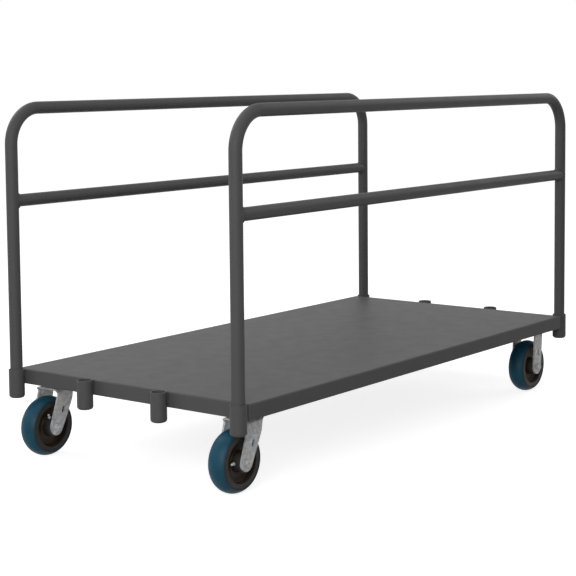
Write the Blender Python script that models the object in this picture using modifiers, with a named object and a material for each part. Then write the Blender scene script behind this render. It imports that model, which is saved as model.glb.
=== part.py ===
"""Panel cart: a folded steel deck on two swivel and two rigid casters, with lift-out tube dividers.

X runs along the deck, from the swivel casters at -X to the rigid ones at +X. Y runs across it and Z is
up. Left is +Y and right is -Y, as seen by someone who pushes the cart from its swivel end. The origin is
on the floor, under the middle of the deck. Lengths are in metres.
"""

import math

import bmesh
import bpy
from mathutils import Matrix, Vector

# Space left between two pieces that touch, and how far a cutter runs past what it cuts
SEAT_GAP = 0.0003
OVERRUN = 0.002
WELD_DISTANCE = 0.00001

# Deck, a pan folded from 12 gauge sheet with its rim turned down
DECK_LENGTH = 1.524
DECK_WIDTH = 0.762
RIM_DEPTH = 0.0381
DECK_SHEET = 0.0027
DECK_BEND = 0.0045

# Channels under the deck: one across each end, over the casters, and one along the middle
CHANNEL_MARGIN = 0.00635
CHANNEL_SHEET = 0.003
CHANNEL_BEND = 0.006
STIFFENER_WIDTH = 0.0762
STIFFENER_DEPTH = 0.0286

# Sockets, closed below, that stand against the ends of the deck and take the dividers' posts
SOCKETS_PER_END = 4
SOCKET_WALL = 0.0032
POST_PLAY = 0.001
SOCKET_LENGTH = 0.073
SOCKET_PROUD = 0.0016
SOCKET_FLOOR = 0.0032
SOCKET_ROUND = 0.007
CORNER_SOCKET_INSET = 0.0165

# Dividers, each a hoop of bent tube with one rail across it
TUBE_OUTSIDE = 0.0318
TUBE_WALL = 0.003
TUBE_BEND = 0.092
HOOP_HEIGHT = 0.6655
RAIL_HEIGHT = 0.4318

# Casters: their places under the deck, and how far a swivel wheel trails its kingpin
# Their plates stand up inside the deck's rim by the recess
CASTER_SIDE_INSET = 0.0705
SWIVEL_CHANNEL_SPACE = 0.0117
RIGID_CHANNEL_SPACE = 0.0202
SWIVEL_LEAD = 0.051
PLATE_RECESS = 0.00635

# Top plates, with four bolt holes
PLATE_STEEL = 0.00635
PLATE_CORNER = 0.008
BOLT_SPACING_ALONG = 0.0921
BOLT_SPACING_ACROSS = 0.0667
BOLT_EDGE_ALONG = 0.0111
BOLT_EDGE_ACROSS = 0.01745
BOLT_HOLE = 0.0103

# Swivel head: kingpin, its nut, and the ball race between the plate and the fork
KINGPIN_DIAMETER = 0.0159
KINGPIN_HEAD = 0.0238
KINGPIN_HEAD_DEPTH = 0.004
KINGPIN_TAIL = 0.002
KINGPIN_NUT_FLATS = 0.0238
KINGPIN_NUT_HEIGHT = 0.0095
RACE_INSIDE = 0.024
RACE_STEEL = 0.0025
RACE_LIP = 0.002
BALL_DIAMETER = 0.0055
BALL_CIRCLE = 0.052
BALL_PLAY = 0.00225

# Forks, pressed from one strip of steel
FORK_STEEL = 0.0048
FORK_BEND = 0.009
CROWN_CLEARANCE = 0.01555
LEG_END_RADIUS = 0.0207
SLOT_LENGTH = 0.018
SLOT_WIDTH = 0.0095

# Outline of a swivel fork's leg, as distances in front of the axle, above it and below the fork's top
LEG_BACK = 0.0025
LEG_NECK = 0.0085
LEG_NECK_DROP = 0.0105
LEG_FRONT = 0.0595
LEG_KNEE = 0.056
LEG_KNEE_RISE = 0.066
SLOT_FORWARD = 0.024
SLOT_RISE = 0.042
SLOT_TILT = math.radians(16)

# Outline of a rigid fork, whose legs lean towards +X at the top
RIGID_LEG_WIDTH = 0.0445
RIGID_LEG_LEAN = 0.008
RIGID_CROWN_LENGTH = 0.05
RIGID_SLOT_FORWARD = 0.006

# Axles
AXLE_DIAMETER = 0.0127
AXLE_CLEARANCE = 0.0003
AXLE_HEAD_FLATS = 0.019
AXLE_HEAD_HEIGHT = 0.0065
AXLE_NUT_HEIGHT = 0.009
AXLE_TAIL = 0.002
SLEEVE_WALL = 0.00285

# Wheels: a tread moulded on a core that turns on rollers
WHEEL_RADIUS = 0.0762
WHEEL_WIDTH = 0.0508
TREAD_THICKNESS = 0.0127
TREAD_SIDE_DEPTH = 0.0018
CORE_RIM_INSET = 0.00115
CORE_RECESS = 0.0275
CORE_DRAFT = 0.003
WEB_THICKNESS = 0.016
HUB_WALL = 0.0094
HUB_LENGTH = 0.0635
HUB_SIDE_PLAY = 0.00125
ROLLER_CAGE_WALL = 0.0045
ROLLER_CAGE_INSET = 0.0025
RUNNING_GAP = 0.0003

# Grease fitting on the hub, at a share of the way from the web to the hub's end
FITTING_DIAMETER = 0.007
FITTING_NECK = 0.0042
FITTING_BASE_HEIGHT = 0.0045
FITTING_HEIGHT = 0.011
FITTING_SHARE = 0.456

# The side of each wheel its fitting is on, and how far it is turned from upright towards +X
FITTING_PLACES = {
    "swivel_right": (-1, math.radians(-90)),
    "swivel_left": (-1, math.radians(-20)),
    "rigid_right": (1, math.radians(60)),
    "rigid_left": (-1, math.radians(120)),
}

# Counts of flat sides that stand for round ones
TUBE_SIDES = 14
TUBE_BEND_STEPS = 5
SOCKET_SIDES = 14
TREAD_SIDES = 32
CORE_SIDES = 20
RACE_SIDES = 18
PIN_SIDES = 12
HOLE_SIDES = 8
FITTING_SIDES = 6
ROUND_STEPS = 2
TREAD_CROWN_STEPS = 5
LEG_END_STEPS = 8

# Widths and lengths that follow from what fits inside them
SOCKET_OUTSIDE = TUBE_OUTSIDE + 2 * (POST_PLAY + SOCKET_WALL)
PLATE_LENGTH = BOLT_SPACING_ALONG + 2 * BOLT_EDGE_ALONG
PLATE_WIDTH = BOLT_SPACING_ACROSS + 2 * BOLT_EDGE_ACROSS
CHANNEL_WIDTH = PLATE_LENGTH + 2 * CHANNEL_MARGIN
RACE_OUTSIDE = BALL_CIRCLE + BALL_DIAMETER + 2 * (BALL_PLAY + RACE_LIP)
FORK_INSIDE = HUB_LENGTH + 2 * HUB_SIDE_PLAY
FORK_OUTSIDE = FORK_INSIDE + 2 * FORK_STEEL
SLEEVE_OUTSIDE = AXLE_DIAMETER + 2 * (SEAT_GAP + SLEEVE_WALL)
CAGE_INSIDE = SLEEVE_OUTSIDE + 2 * RUNNING_GAP
CAGE_OUTSIDE = CAGE_INSIDE + 2 * ROLLER_CAGE_WALL
CAGE_LENGTH = HUB_LENGTH - 2 * ROLLER_CAGE_INSET
HUB_INSIDE = CAGE_OUTSIDE + 2 * SEAT_GAP
HUB_OUTSIDE = HUB_INSIDE + 2 * HUB_WALL
FITTING_SIDEWAYS = (1 - FITTING_SHARE) * WEB_THICKNESS / 2 + FITTING_SHARE * HUB_LENGTH / 2
CORE_RADIUS = WHEEL_RADIUS - TREAD_THICKNESS - SEAT_GAP
CORE_RIM_WIDTH = WHEEL_WIDTH - 2 * CORE_RIM_INSET

# Heights above the floor, from the wheel's top up to the deck
SWIVEL_CROWN_TOP = 2 * WHEEL_RADIUS + CROWN_CLEARANCE + FORK_STEEL
LOWER_RACE_TOP = SWIVEL_CROWN_TOP + SEAT_GAP + RACE_STEEL
BALL_LEVEL = LOWER_RACE_TOP + SEAT_GAP + BALL_DIAMETER / 2
UPPER_RACE_BOTTOM = BALL_LEVEL + BALL_DIAMETER / 2 + SEAT_GAP
PLATE_BOTTOM = UPPER_RACE_BOTTOM + RACE_STEEL
RIGID_CROWN_TOP = PLATE_BOTTOM - SEAT_GAP
CASTER_HEIGHT = PLATE_BOTTOM + PLATE_STEEL
CHANNEL_BOTTOM = CASTER_HEIGHT + SEAT_GAP
DECK_TOP = CHANNEL_BOTTOM - PLATE_RECESS + RIM_DEPTH
DECK_UNDERSIDE = DECK_TOP - DECK_SHEET
POST_X = DECK_LENGTH / 2 + SEAT_GAP + SOCKET_OUTSIDE / 2
POST_Y = DECK_WIDTH / 2 - CORNER_SOCKET_INSET
SOCKET_TOP = DECK_TOP + SOCKET_PROUD
SOCKET_BOTTOM = SOCKET_TOP - SOCKET_LENGTH
POST_FOOT = SOCKET_BOTTOM + SOCKET_FLOOR + SEAT_GAP

# Places in plan
CASTER_Y = DECK_WIDTH / 2 - CASTER_SIDE_INSET
CHANNEL_INSET = DECK_BEND + SEAT_GAP + CHANNEL_WIDTH / 2
KINGPIN_X = CHANNEL_INSET + SWIVEL_CHANNEL_SPACE - DECK_LENGTH / 2
RIGID_X = DECK_LENGTH / 2 - CHANNEL_INSET - RIGID_CHANNEL_SPACE

SIDES = {"right": -1, "left": 1}

for old in list(bpy.data.objects):
    bpy.data.objects.remove(old, do_unlink=True)

cart = bpy.data.collections.new("panel_cart")
cutters = bpy.data.collections.new("cutters")
for group in (cart, cutters):
    bpy.context.scene.collection.children.link(group)


def material(name, colour, roughness, metallic):
    """A finish with one colour, given in linear light."""
    finish = bpy.data.materials.new(name)
    finish.use_nodes = True
    shader = finish.node_tree.nodes["Principled BSDF"]
    shader.inputs["Base Color"].default_value = (*colour, 1)
    shader.inputs["Roughness"].default_value = roughness
    shader.inputs["Metallic"].default_value = metallic
    finish.diffuse_color = (*colour, 1)
    return finish


GREY_PAINT = material("grey_paint", (0.085, 0.085, 0.087), 0.5, 0.0)
ZINC = material("zinc_plate", (0.45, 0.46, 0.48), 0.38, 0.9)
STEEL = material("plain_steel", (0.35, 0.35, 0.36), 0.3, 1.0)
BLUE_TREAD = material("blue_tread", (0.016, 0.055, 0.09), 0.45, 0.0)
DARK_CORE = material("dark_core", (0.022, 0.016, 0.013), 0.4, 0.0)


def corner_radius(inner_radius, sides):
    """Radius at the corners of a hole with flat sides that lie at the inner radius."""
    return inner_radius / math.cos(math.pi / sides)


def arc(centre, radius, start, end, steps):
    """Points along an arc, both ends included, from one angle to another."""
    angles = [start + (end - start) * step / steps for step in range(steps + 1)]
    return [(centre[0] + radius * math.cos(a), centre[1] + radius * math.sin(a)) for a in angles]


def ring(centre, radius, sides):
    """Corners of a regular outline, the first of them on its right."""
    return arc(centre, radius, 0, 2 * math.pi, sides)[:-1]


def rounded_rectangle(length, width, radius):
    """A rectangle about the origin with rounded corners."""
    x = length / 2 - radius
    y = width / 2 - radius
    quarter = math.pi / 2
    outline = []
    for turn, corner in enumerate(((x, y), (-x, y), (-x, -y), (x, -y))):
        outline += arc(corner, radius, turn * quarter, (turn + 1) * quarter, ROUND_STEPS)
    return outline


def slot(centre, length, width, tilt):
    """A slot with round ends, its length turned from upright by the tilt, towards +X at its top."""
    half = length / 2 - width / 2
    lean = Vector((math.sin(tilt), math.cos(tilt))) * half
    top = (centre[0] + lean.x, centre[1] + lean.y)
    bottom = (centre[0] - lean.x, centre[1] - lean.y)
    upper = arc(top, width / 2, -tilt, math.pi - tilt, HOLE_SIDES // 2)
    lower = arc(bottom, width / 2, math.pi - tilt, 2 * math.pi - tilt, HOLE_SIDES // 2)
    return upper + lower


def tidy_mesh(mesh, turn=None):
    """Welds a mesh's doubles, points its faces outwards and turns it."""
    shape = bmesh.new()
    shape.from_mesh(mesh)
    bmesh.ops.remove_doubles(shape, verts=shape.verts, dist=WELD_DISTANCE)
    bmesh.ops.recalc_face_normals(shape, faces=shape.faces)
    shape.to_mesh(mesh)
    shape.free()
    if turn is not None:
        mesh.transform(turn)
    return mesh


def baked(helper, turn=None):
    """The mesh of a helper object with its modifiers applied. The helper is taken away."""
    graph = bpy.context.evaluated_depsgraph_get()
    mesh = bpy.data.meshes.new_from_object(helper.evaluated_get(graph))
    bpy.data.objects.remove(helper, do_unlink=True)
    return tidy_mesh(mesh, turn)


def helper_object(data):
    """An object that only serves to work a shape out."""
    helper = bpy.data.objects.new("helper", data)
    helper.hide_render = True
    helper.display_type = "WIRE"
    cutters.objects.link(helper)
    return helper


def sheet(outlines, thickness, turn=None):
    """A flat piece as thick as told, with its first outline as its edge and the others as holes."""
    curve = bpy.data.curves.new("outline", "CURVE")
    curve.dimensions = "2D"
    curve.fill_mode = "BOTH"
    curve.extrude = thickness / 2
    for outline in outlines:
        spline = curve.splines.new("POLY")
        spline.points.add(len(outline) - 1)
        for point, (x, y) in zip(spline.points, outline):
            point.co = (x, y, 0, 1)
        spline.use_cyclic_u = True
    return baked(helper_object(curve), turn)


def turned(profile, sides, is_ring, turn=None):
    """A round piece about Z. Its profile is pairs of radius and height, down its outer side first."""
    outline = bmesh.new()
    corners = [outline.verts.new((radius, 0, height)) for radius, height in profile]
    for first, second in zip(corners, corners[1:]):
        outline.edges.new((first, second))
    if is_ring:
        outline.edges.new((corners[-1], corners[0]))
    mesh = bpy.data.meshes.new("profile")
    outline.to_mesh(mesh)
    outline.free()
    helper = helper_object(mesh)
    screw = helper.modifiers.new("turn", "SCREW")
    screw.axis = "Z"
    screw.steps = sides
    screw.render_steps = sides
    screw.use_merge_vertices = True
    screw.merge_threshold = WELD_DISTANCE
    return baked(helper, turn)


def cut(mesh, tool, operation="DIFFERENCE"):
    """A mesh cut by a tool mesh, joined to it, or kept only inside it."""
    body = helper_object(mesh)
    cutter = helper_object(tool)
    boolean = body.modifiers.new(operation.lower(), "BOOLEAN")
    boolean.operation = operation
    boolean.solver = "EXACT"
    boolean.object = cutter
    made = baked(body)
    bpy.data.objects.remove(cutter, do_unlink=True)
    return made


def tube(points, outside, wall):
    """A tube bent along the points, with open ends."""
    curve = bpy.data.curves.new("path", "CURVE")
    curve.dimensions = "3D"
    curve.bevel_depth = outside / 2
    curve.bevel_resolution = TUBE_SIDES // 2 - 2
    curve.use_fill_caps = False
    spline = curve.splines.new("POLY")
    spline.points.add(len(points) - 1)
    for point, place in zip(spline.points, points):
        point.co = (*place, 1)
    helper = helper_object(baked(helper_object(curve)))
    solidify = helper.modifiers.new("wall", "SOLIDIFY")
    solidify.thickness = wall
    solidify.offset = -1
    solidify.use_even_offset = True
    return baked(helper)


def box_shell(size, open_sides):
    """A box about the origin without the sides that face the given directions."""
    shape = bmesh.new()
    bmesh.ops.create_cube(shape, size=1, matrix=Matrix.Diagonal((*size, 1)))
    gone = [f for f in shape.faces if any(f.normal.dot(Vector(way)) > 0.5 for way in open_sides)]
    bmesh.ops.delete(shape, geom=gone, context="FACES")
    mesh = bpy.data.meshes.new("shell")
    shape.to_mesh(mesh)
    shape.free()
    return mesh


def folded(mesh, bend, gauge):
    """An open shell with its folds rounded and its wall grown inwards."""
    helper = helper_object(mesh)
    bevel = helper.modifiers.new("folds", "BEVEL")
    bevel.width = bend
    bevel.segments = ROUND_STEPS
    bevel.limit_method = "ANGLE"
    solidify = helper.modifiers.new("gauge", "SOLIDIFY")
    solidify.thickness = gauge
    solidify.offset = -1
    solidify.use_even_offset = True
    return baked(helper)


def frame_point(name, place, parent=None):
    """An empty on a joint's axis, which carries the pieces that move together."""
    empty = bpy.data.objects.new(name, None)
    empty.empty_display_size = WHEEL_RADIUS
    empty.location = place
    empty.parent = parent
    cart.objects.link(empty)
    return empty


def piece(name, mesh, finish, parent, place=(0, 0, 0), turn=(0, 0, 0)):
    """One named piece of the cart, placed under its parent."""
    mesh.shade_smooth()
    mesh.set_sharp_from_angle(angle=math.radians(35))
    if not mesh.materials:
        mesh.materials.append(finish)
    made = bpy.data.objects.new(name, mesh)
    made.location = place
    made.rotation_euler = turn
    made.parent = parent
    cart.objects.link(made)
    return made


def plate_holes():
    """Centres of a top plate's four bolt holes."""
    x = BOLT_SPACING_ALONG / 2
    y = BOLT_SPACING_ACROSS / 2
    return [(x, y), (-x, y), (-x, -y), (x, -y)]


def deck_mesh():
    """The deck and its rim, folded from one sheet."""
    shell = box_shell((DECK_LENGTH, DECK_WIDTH, RIM_DEPTH), [(0, 0, -1)])
    return folded(shell, DECK_BEND, DECK_SHEET)


def channel_mesh(length, width, depth):
    """A channel along X with its web below and its edges up."""
    shell = box_shell((length, width, depth), [(0, 0, 1), (1, 0, 0), (-1, 0, 0)])
    return folded(shell, CHANNEL_BEND, CHANNEL_SHEET)


def caster_channel_mesh():
    """The channel that two casters are bolted to, with holes over those of their plates."""
    fold = DECK_BEND - DECK_SHEET
    length = DECK_WIDTH - 2 * (DECK_SHEET + SEAT_GAP + fold)
    depth = DECK_UNDERSIDE - SEAT_GAP - CHANNEL_BOTTOM
    turn = Matrix.Rotation(math.pi / 2, 4, "Z")
    mesh = channel_mesh(length, CHANNEL_WIDTH, depth)
    mesh.transform(turn)
    drills = bmesh.new()
    for side in SIDES.values():
        for x, y in plate_holes():
            place = Matrix.Translation((x, side * CASTER_Y + y, -depth / 2))
            bmesh.ops.create_cone(
                drills,
                cap_ends=True,
                segments=HOLE_SIDES,
                radius1=BOLT_HOLE / 2,
                radius2=BOLT_HOLE / 2,
                depth=2 * (CHANNEL_SHEET + OVERRUN),
                matrix=place,
            )
    tool = bpy.data.meshes.new("drills")
    drills.to_mesh(tool)
    drills.free()
    return cut(mesh, tool)


def socket_mesh():
    """A socket with its origin at its foot: a round cup with a rounded bottom edge."""
    outer = SOCKET_OUTSIDE / 2
    inner = corner_radius(outer - SOCKET_WALL, SOCKET_SIDES)
    foot = arc((outer - SOCKET_ROUND, SOCKET_ROUND), SOCKET_ROUND, 0, -math.pi / 2, ROUND_STEPS)
    profile = [(0, SOCKET_FLOOR), (inner, SOCKET_FLOOR), (inner, SOCKET_LENGTH), (outer, SOCKET_LENGTH)]
    return turned(profile + foot + [(0, 0)], SOCKET_SIDES, False)


def hoop_mesh():
    """A divider's hoop, with its origin on the floor midway between its posts."""
    top = DECK_TOP + HOOP_HEIGHT
    quarter = math.pi / 2
    turn_in = arc((TUBE_BEND - POST_X, top - TUBE_BEND), TUBE_BEND, 2 * quarter, quarter, TUBE_BEND_STEPS)
    turn_out = arc((POST_X - TUBE_BEND, top - TUBE_BEND), TUBE_BEND, quarter, 0, TUBE_BEND_STEPS)
    path = [(-POST_X, POST_FOOT)] + turn_in + turn_out + [(POST_X, POST_FOOT)]
    return tube([(x, 0, z) for x, z in path], TUBE_OUTSIDE, TUBE_WALL)


def rail_mesh():
    """A divider's rail, its ends hollowed to fit round the posts, with its origin at its middle."""
    rail = tube([(-POST_X, 0, 0), (POST_X, 0, 0)], TUBE_OUTSIDE, TUBE_WALL)
    radius = corner_radius(TUBE_OUTSIDE / 2 + SEAT_GAP, TUBE_SIDES)
    for end in (-1, 1):
        tool = turned(
            [(0, TUBE_OUTSIDE), (radius, TUBE_OUTSIDE), (radius, -TUBE_OUTSIDE), (0, -TUBE_OUTSIDE)],
            TUBE_SIDES,
            False,
            Matrix.Translation((end * POST_X, 0, 0)),
        )
        rail = cut(rail, tool)
    return rail


def kingpin_profile(spare):
    """Radius and height pairs down a kingpin, larger all round by the spare."""
    pin = KINGPIN_DIAMETER / 2 + spare
    head = KINGPIN_HEAD / 2 + spare
    tail = SWIVEL_CROWN_TOP - FORK_STEEL - SEAT_GAP - KINGPIN_NUT_HEIGHT - KINGPIN_TAIL
    neck = CASTER_HEIGHT - KINGPIN_HEAD_DEPTH
    return [(0, CASTER_HEIGHT + spare), (head, CASTER_HEIGHT + spare), (pin, neck - spare), (pin, tail), (0, tail)]


def plate_mesh(has_kingpin):
    """A caster's top plate. A swivel caster's carries the upper race and a countersunk hole."""
    holes = [ring(centre, BOLT_HOLE / 2, HOLE_SIDES) for centre in plate_holes()]
    level = Matrix.Translation((0, 0, CASTER_HEIGHT - PLATE_STEEL / 2))
    plate = sheet([rounded_rectangle(PLATE_LENGTH, PLATE_WIDTH, PLATE_CORNER)] + holes, PLATE_STEEL, level)
    if not has_kingpin:
        return plate
    outer = RACE_OUTSIDE / 2
    inner = RACE_INSIDE / 2
    buried = PLATE_BOTTOM + OVERRUN
    race = [(outer, buried), (outer, UPPER_RACE_BOTTOM), (inner, UPPER_RACE_BOTTOM), (inner, buried)]
    plate = cut(plate, turned(race, RACE_SIDES, True), "UNION")
    return cut(plate, turned(kingpin_profile(SEAT_GAP), PIN_SIDES, False))


def balls_mesh():
    """The ring of balls between the races, as one ring."""
    section = ring((BALL_CIRCLE / 2, BALL_LEVEL), BALL_DIAMETER / 2, FITTING_SIDES)
    return turned(section[::-1], RACE_SIDES, True)


def lower_race_mesh():
    """The race on the fork's crown, with a lip round the balls."""
    outer = RACE_OUTSIDE / 2
    inner = RACE_INSIDE / 2
    foot = LOWER_RACE_TOP - RACE_STEEL
    brim = UPPER_RACE_BOTTOM - SEAT_GAP
    return turned(
        [
            (outer, brim),
            (outer, foot),
            (inner, foot),
            (inner, LOWER_RACE_TOP),
            (outer - RACE_LIP, LOWER_RACE_TOP),
            (outer - RACE_LIP, brim),
        ],
        RACE_SIDES,
        True,
    )


def bent_strip_mesh(top, bottom, length):
    """A strip folded into an upside-down U as wide as a fork, running along X about the origin."""
    outer = FORK_OUTSIDE / 2
    inner = FORK_INSIDE / 2
    fold = FORK_BEND - FORK_STEEL
    quarter = math.pi / 2
    shoulder = top - FORK_BEND
    outline = [(-outer, bottom)]
    outline += arc((FORK_BEND - outer, shoulder), FORK_BEND, 2 * quarter, quarter, ROUND_STEPS)
    outline += arc((outer - FORK_BEND, shoulder), FORK_BEND, quarter, 0, ROUND_STEPS)
    outline += [(outer, bottom), (inner, bottom)]
    outline += arc((inner - fold, shoulder), fold, 0, quarter, ROUND_STEPS)
    outline += arc((fold - inner, shoulder), fold, quarter, 2 * quarter, ROUND_STEPS)
    outline += [(-inner, bottom)]
    stand_up = Matrix.Rotation(math.pi / 2, 4, "Z") @ Matrix.Rotation(math.pi / 2, 4, "X")
    return sheet([outline], length, stand_up)


def side_cut(mesh, outline, operation="DIFFERENCE"):
    """Cuts a fork with an outline drawn from its side, through its whole width."""
    stand_up = Matrix.Rotation(math.pi / 2, 4, "X")
    return cut(mesh, sheet([outline], FORK_OUTSIDE + 2 * OVERRUN, stand_up), operation)


def round_cut(mesh, centre, diameter, top):
    """Drills a fork's crown from above."""
    radius = corner_radius(diameter / 2, PIN_SIDES)
    floor = top - FORK_STEEL - OVERRUN
    height = top + OVERRUN
    profile = [(0, height), (radius, height), (radius, floor), (0, floor)]
    return cut(mesh, turned(profile, PIN_SIDES, False, Matrix.Translation(centre)))


def tangent_angle(centre, radius, point, side):
    """Angle on a circle at which a line from the point touches it, on its left if the side is 1."""
    away = Vector(point) - Vector(centre)
    return math.atan2(away.y, away.x) + side * math.acos(radius / away.length)


def swivel_fork_mesh():
    """The fork of a swivel caster, with its origin on the floor under the kingpin."""
    axle = (-SWIVEL_LEAD, WHEEL_RADIUS)
    crown_bottom = SWIVEL_CROWN_TOP - FORK_STEEL
    front = FORK_OUTSIDE / 2
    back = axle[0] + LEG_BACK
    neck = (axle[0] + LEG_NECK, SWIVEL_CROWN_TOP - LEG_NECK_DROP)
    knee = (axle[0] + LEG_KNEE, axle[1] + LEG_KNEE_RISE)
    leg_front = (axle[0] + LEG_FRONT, crown_bottom - OVERRUN)
    start = tangent_angle(axle, LEG_END_RADIUS, neck, 1)
    end = tangent_angle(axle, LEG_END_RADIUS, knee, -1) + 2 * math.pi
    outline = [(front, SWIVEL_CROWN_TOP + OVERRUN), (back, SWIVEL_CROWN_TOP + OVERRUN)]
    outline += [(back, crown_bottom), neck]
    outline += arc(axle, LEG_END_RADIUS, start, end, LEG_END_STEPS)
    outline += [knee, leg_front, (front, crown_bottom - OVERRUN)]
    reach = 2 * (SWIVEL_LEAD + LEG_END_RADIUS + OVERRUN)
    strip = bent_strip_mesh(SWIVEL_CROWN_TOP, 0, reach)
    fork = side_cut(strip, outline, "INTERSECT")
    plan = arc((0, 0), front, -math.pi / 2, math.pi / 2, LEG_END_STEPS)
    plan += [(-reach / 2, front), (-reach / 2, -front)]
    fork = cut(fork, sheet([plan], 2 * SWIVEL_CROWN_TOP + 2 * OVERRUN), "INTERSECT")
    fork = side_cut(fork, ring(axle, corner_radius(AXLE_DIAMETER / 2 + AXLE_CLEARANCE, HOLE_SIDES), HOLE_SIDES))
    window = (axle[0] + SLOT_FORWARD, axle[1] + SLOT_RISE)
    fork = side_cut(fork, slot(window, SLOT_LENGTH, SLOT_WIDTH, SLOT_TILT))
    return round_cut(fork, (0, 0, 0), KINGPIN_DIAMETER + 2 * RUNNING_GAP, SWIVEL_CROWN_TOP)


def rigid_fork_mesh():
    """The fork of a rigid caster, with its origin on the floor under the axle."""
    axle = (0, WHEEL_RADIUS)
    half = RIGID_LEG_WIDTH / 2
    crown = RIGID_CROWN_LENGTH / 2
    crown_bottom = RIGID_CROWN_TOP - FORK_STEEL
    neck_level = crown_bottom - (crown - half)
    back_neck = (RIGID_LEG_LEAN - half, neck_level)
    front_neck = (RIGID_LEG_LEAN + half, neck_level)
    start = tangent_angle(axle, half, back_neck, 1)
    end = tangent_angle(axle, half, front_neck, -1) + 2 * math.pi
    front = RIGID_LEG_LEAN + crown
    back = RIGID_LEG_LEAN - crown
    outline = [(front, RIGID_CROWN_TOP + OVERRUN), (back, RIGID_CROWN_TOP + OVERRUN), (back, crown_bottom)]
    outline += [back_neck] + arc(axle, half, start, end, LEG_END_STEPS)
    outline += [front_neck, (front, crown_bottom)]
    reach = 2 * (RIGID_LEG_LEAN + crown + OVERRUN)
    fork = side_cut(bent_strip_mesh(RIGID_CROWN_TOP, 0, reach), outline, "INTERSECT")
    fork = side_cut(fork, ring(axle, corner_radius(AXLE_DIAMETER / 2 + AXLE_CLEARANCE, HOLE_SIDES), HOLE_SIDES))
    window = (RIGID_SLOT_FORWARD, axle[1] + SLOT_RISE)
    return side_cut(fork, slot(window, SLOT_LENGTH, SLOT_WIDTH, 0))


def nut_mesh(flats, height, bore):
    """A nut about the origin, its hole along Z."""
    hole = ring((0, 0), corner_radius(bore / 2, HOLE_SIDES), HOLE_SIDES)
    return sheet([ring((0, 0), corner_radius(flats / 2, 6), 6), hole], height)


def axle_mesh():
    """An axle bolt along Z: its head above the leg at +Z, its tail past the nut at -Z."""
    radius = AXLE_DIAMETER / 2
    seat = FORK_OUTSIDE / 2 + SEAT_GAP
    tail = -(seat + AXLE_NUT_HEIGHT + AXLE_TAIL)
    shaft = turned([(0, seat + OVERRUN), (radius, seat + OVERRUN), (radius, tail), (0, tail)], PIN_SIDES, False)
    head = sheet(
        [ring((0, 0), corner_radius(AXLE_HEAD_FLATS / 2, 6), 6)],
        AXLE_HEAD_HEIGHT,
        Matrix.Translation((0, 0, seat + AXLE_HEAD_HEIGHT / 2)),
    )
    return cut(shaft, head, "UNION")


def pipe_mesh(outside, inside, length, sides):
    """A straight tube about the origin, along Z, whose bore clears the inside diameter."""
    outer = outside / 2
    inner = corner_radius(inside / 2, sides)
    half = length / 2
    return turned([(outer, half), (outer, -half), (inner, -half), (inner, half)], sides, True)


def tread_mesh():
    """The tread about the origin, round from side to side, its axis along Z and a flat side below."""
    half = WHEEL_WIDTH / 2
    inner = corner_radius(WHEEL_RADIUS - TREAD_THICKNESS, TREAD_SIDES)
    drop = TREAD_THICKNESS - TREAD_SIDE_DEPTH
    lean = 2 * math.atan(drop / half)
    crown = half / math.sin(lean)
    centre = corner_radius(WHEEL_RADIUS, TREAD_SIDES) - crown * math.cos(lean / TREAD_CROWN_STEPS)
    profile = arc((centre, 0), crown, lean, -lean, TREAD_CROWN_STEPS)
    half_side = Matrix.Rotation(math.pi / TREAD_SIDES, 4, "Z")
    return turned(profile + [(inner, -half), (inner, half)], TREAD_SIDES, True, half_side)


def core_mesh():
    """The wheel's core about the origin, its axis along Z: rim, web and hub."""
    rim = CORE_RIM_WIDTH / 2
    well = HUB_OUTSIDE / 2 + CORE_RECESS
    web = WEB_THICKNESS / 2
    hub = HUB_LENGTH / 2
    boss = HUB_OUTSIDE / 2
    bore = corner_radius(HUB_INSIDE / 2, CORE_SIDES)
    lower = [(CORE_RADIUS, -rim), (well, -rim), (well - CORE_DRAFT, -web), (boss, -web), (boss, -hub)]
    upper = [(radius, -height) for radius, height in lower[::-1]]
    return turned(lower + [(bore, -hub), (bore, hub)] + upper, CORE_SIDES, True)


def fitting_mesh():
    """A grease fitting along Z, its origin at its foot."""
    base = FITTING_DIAMETER / 2
    neck = FITTING_NECK / 2
    return turned(
        [
            (0, FITTING_HEIGHT),
            (neck, FITTING_HEIGHT - neck / 2),
            (neck, FITTING_BASE_HEIGHT),
            (base, FITTING_BASE_HEIGHT),
            (base, 0),
            (0, 0),
        ],
        FITTING_SIDES,
        False,
    )


def build_deck(base):
    """The deck, the channels under it and the sockets at its ends."""
    piece("deck_pan", deck_mesh(), GREY_PAINT, base, (0, 0, DECK_TOP - RIM_DEPTH / 2))
    depth = DECK_UNDERSIDE - SEAT_GAP - CHANNEL_BOTTOM
    across = caster_channel_mesh()
    for name, x in (("swivel_channel", KINGPIN_X), ("rigid_channel", RIGID_X)):
        piece(name, across, GREY_PAINT, base, (x, 0, CHANNEL_BOTTOM + depth / 2))
    start = KINGPIN_X + CHANNEL_WIDTH / 2 + SEAT_GAP
    end = RIGID_X - CHANNEL_WIDTH / 2 - SEAT_GAP
    height = DECK_UNDERSIDE - SEAT_GAP - STIFFENER_DEPTH / 2
    along = channel_mesh(end - start, STIFFENER_WIDTH, STIFFENER_DEPTH)
    piece("deck_stiffener", along, GREY_PAINT, base, ((start + end) / 2, 0, height))
    socket = socket_mesh()
    step = 2 * POST_Y / (SOCKETS_PER_END - 1)
    for end_name, x in (("swivel", -POST_X), ("rigid", POST_X)):
        for number in range(SOCKETS_PER_END):
            place = (x, number * step - POST_Y, SOCKET_BOTTOM)
            piece(f"socket_{end_name}_end_{number + 1}", socket, GREY_PAINT, base, place)


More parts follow.
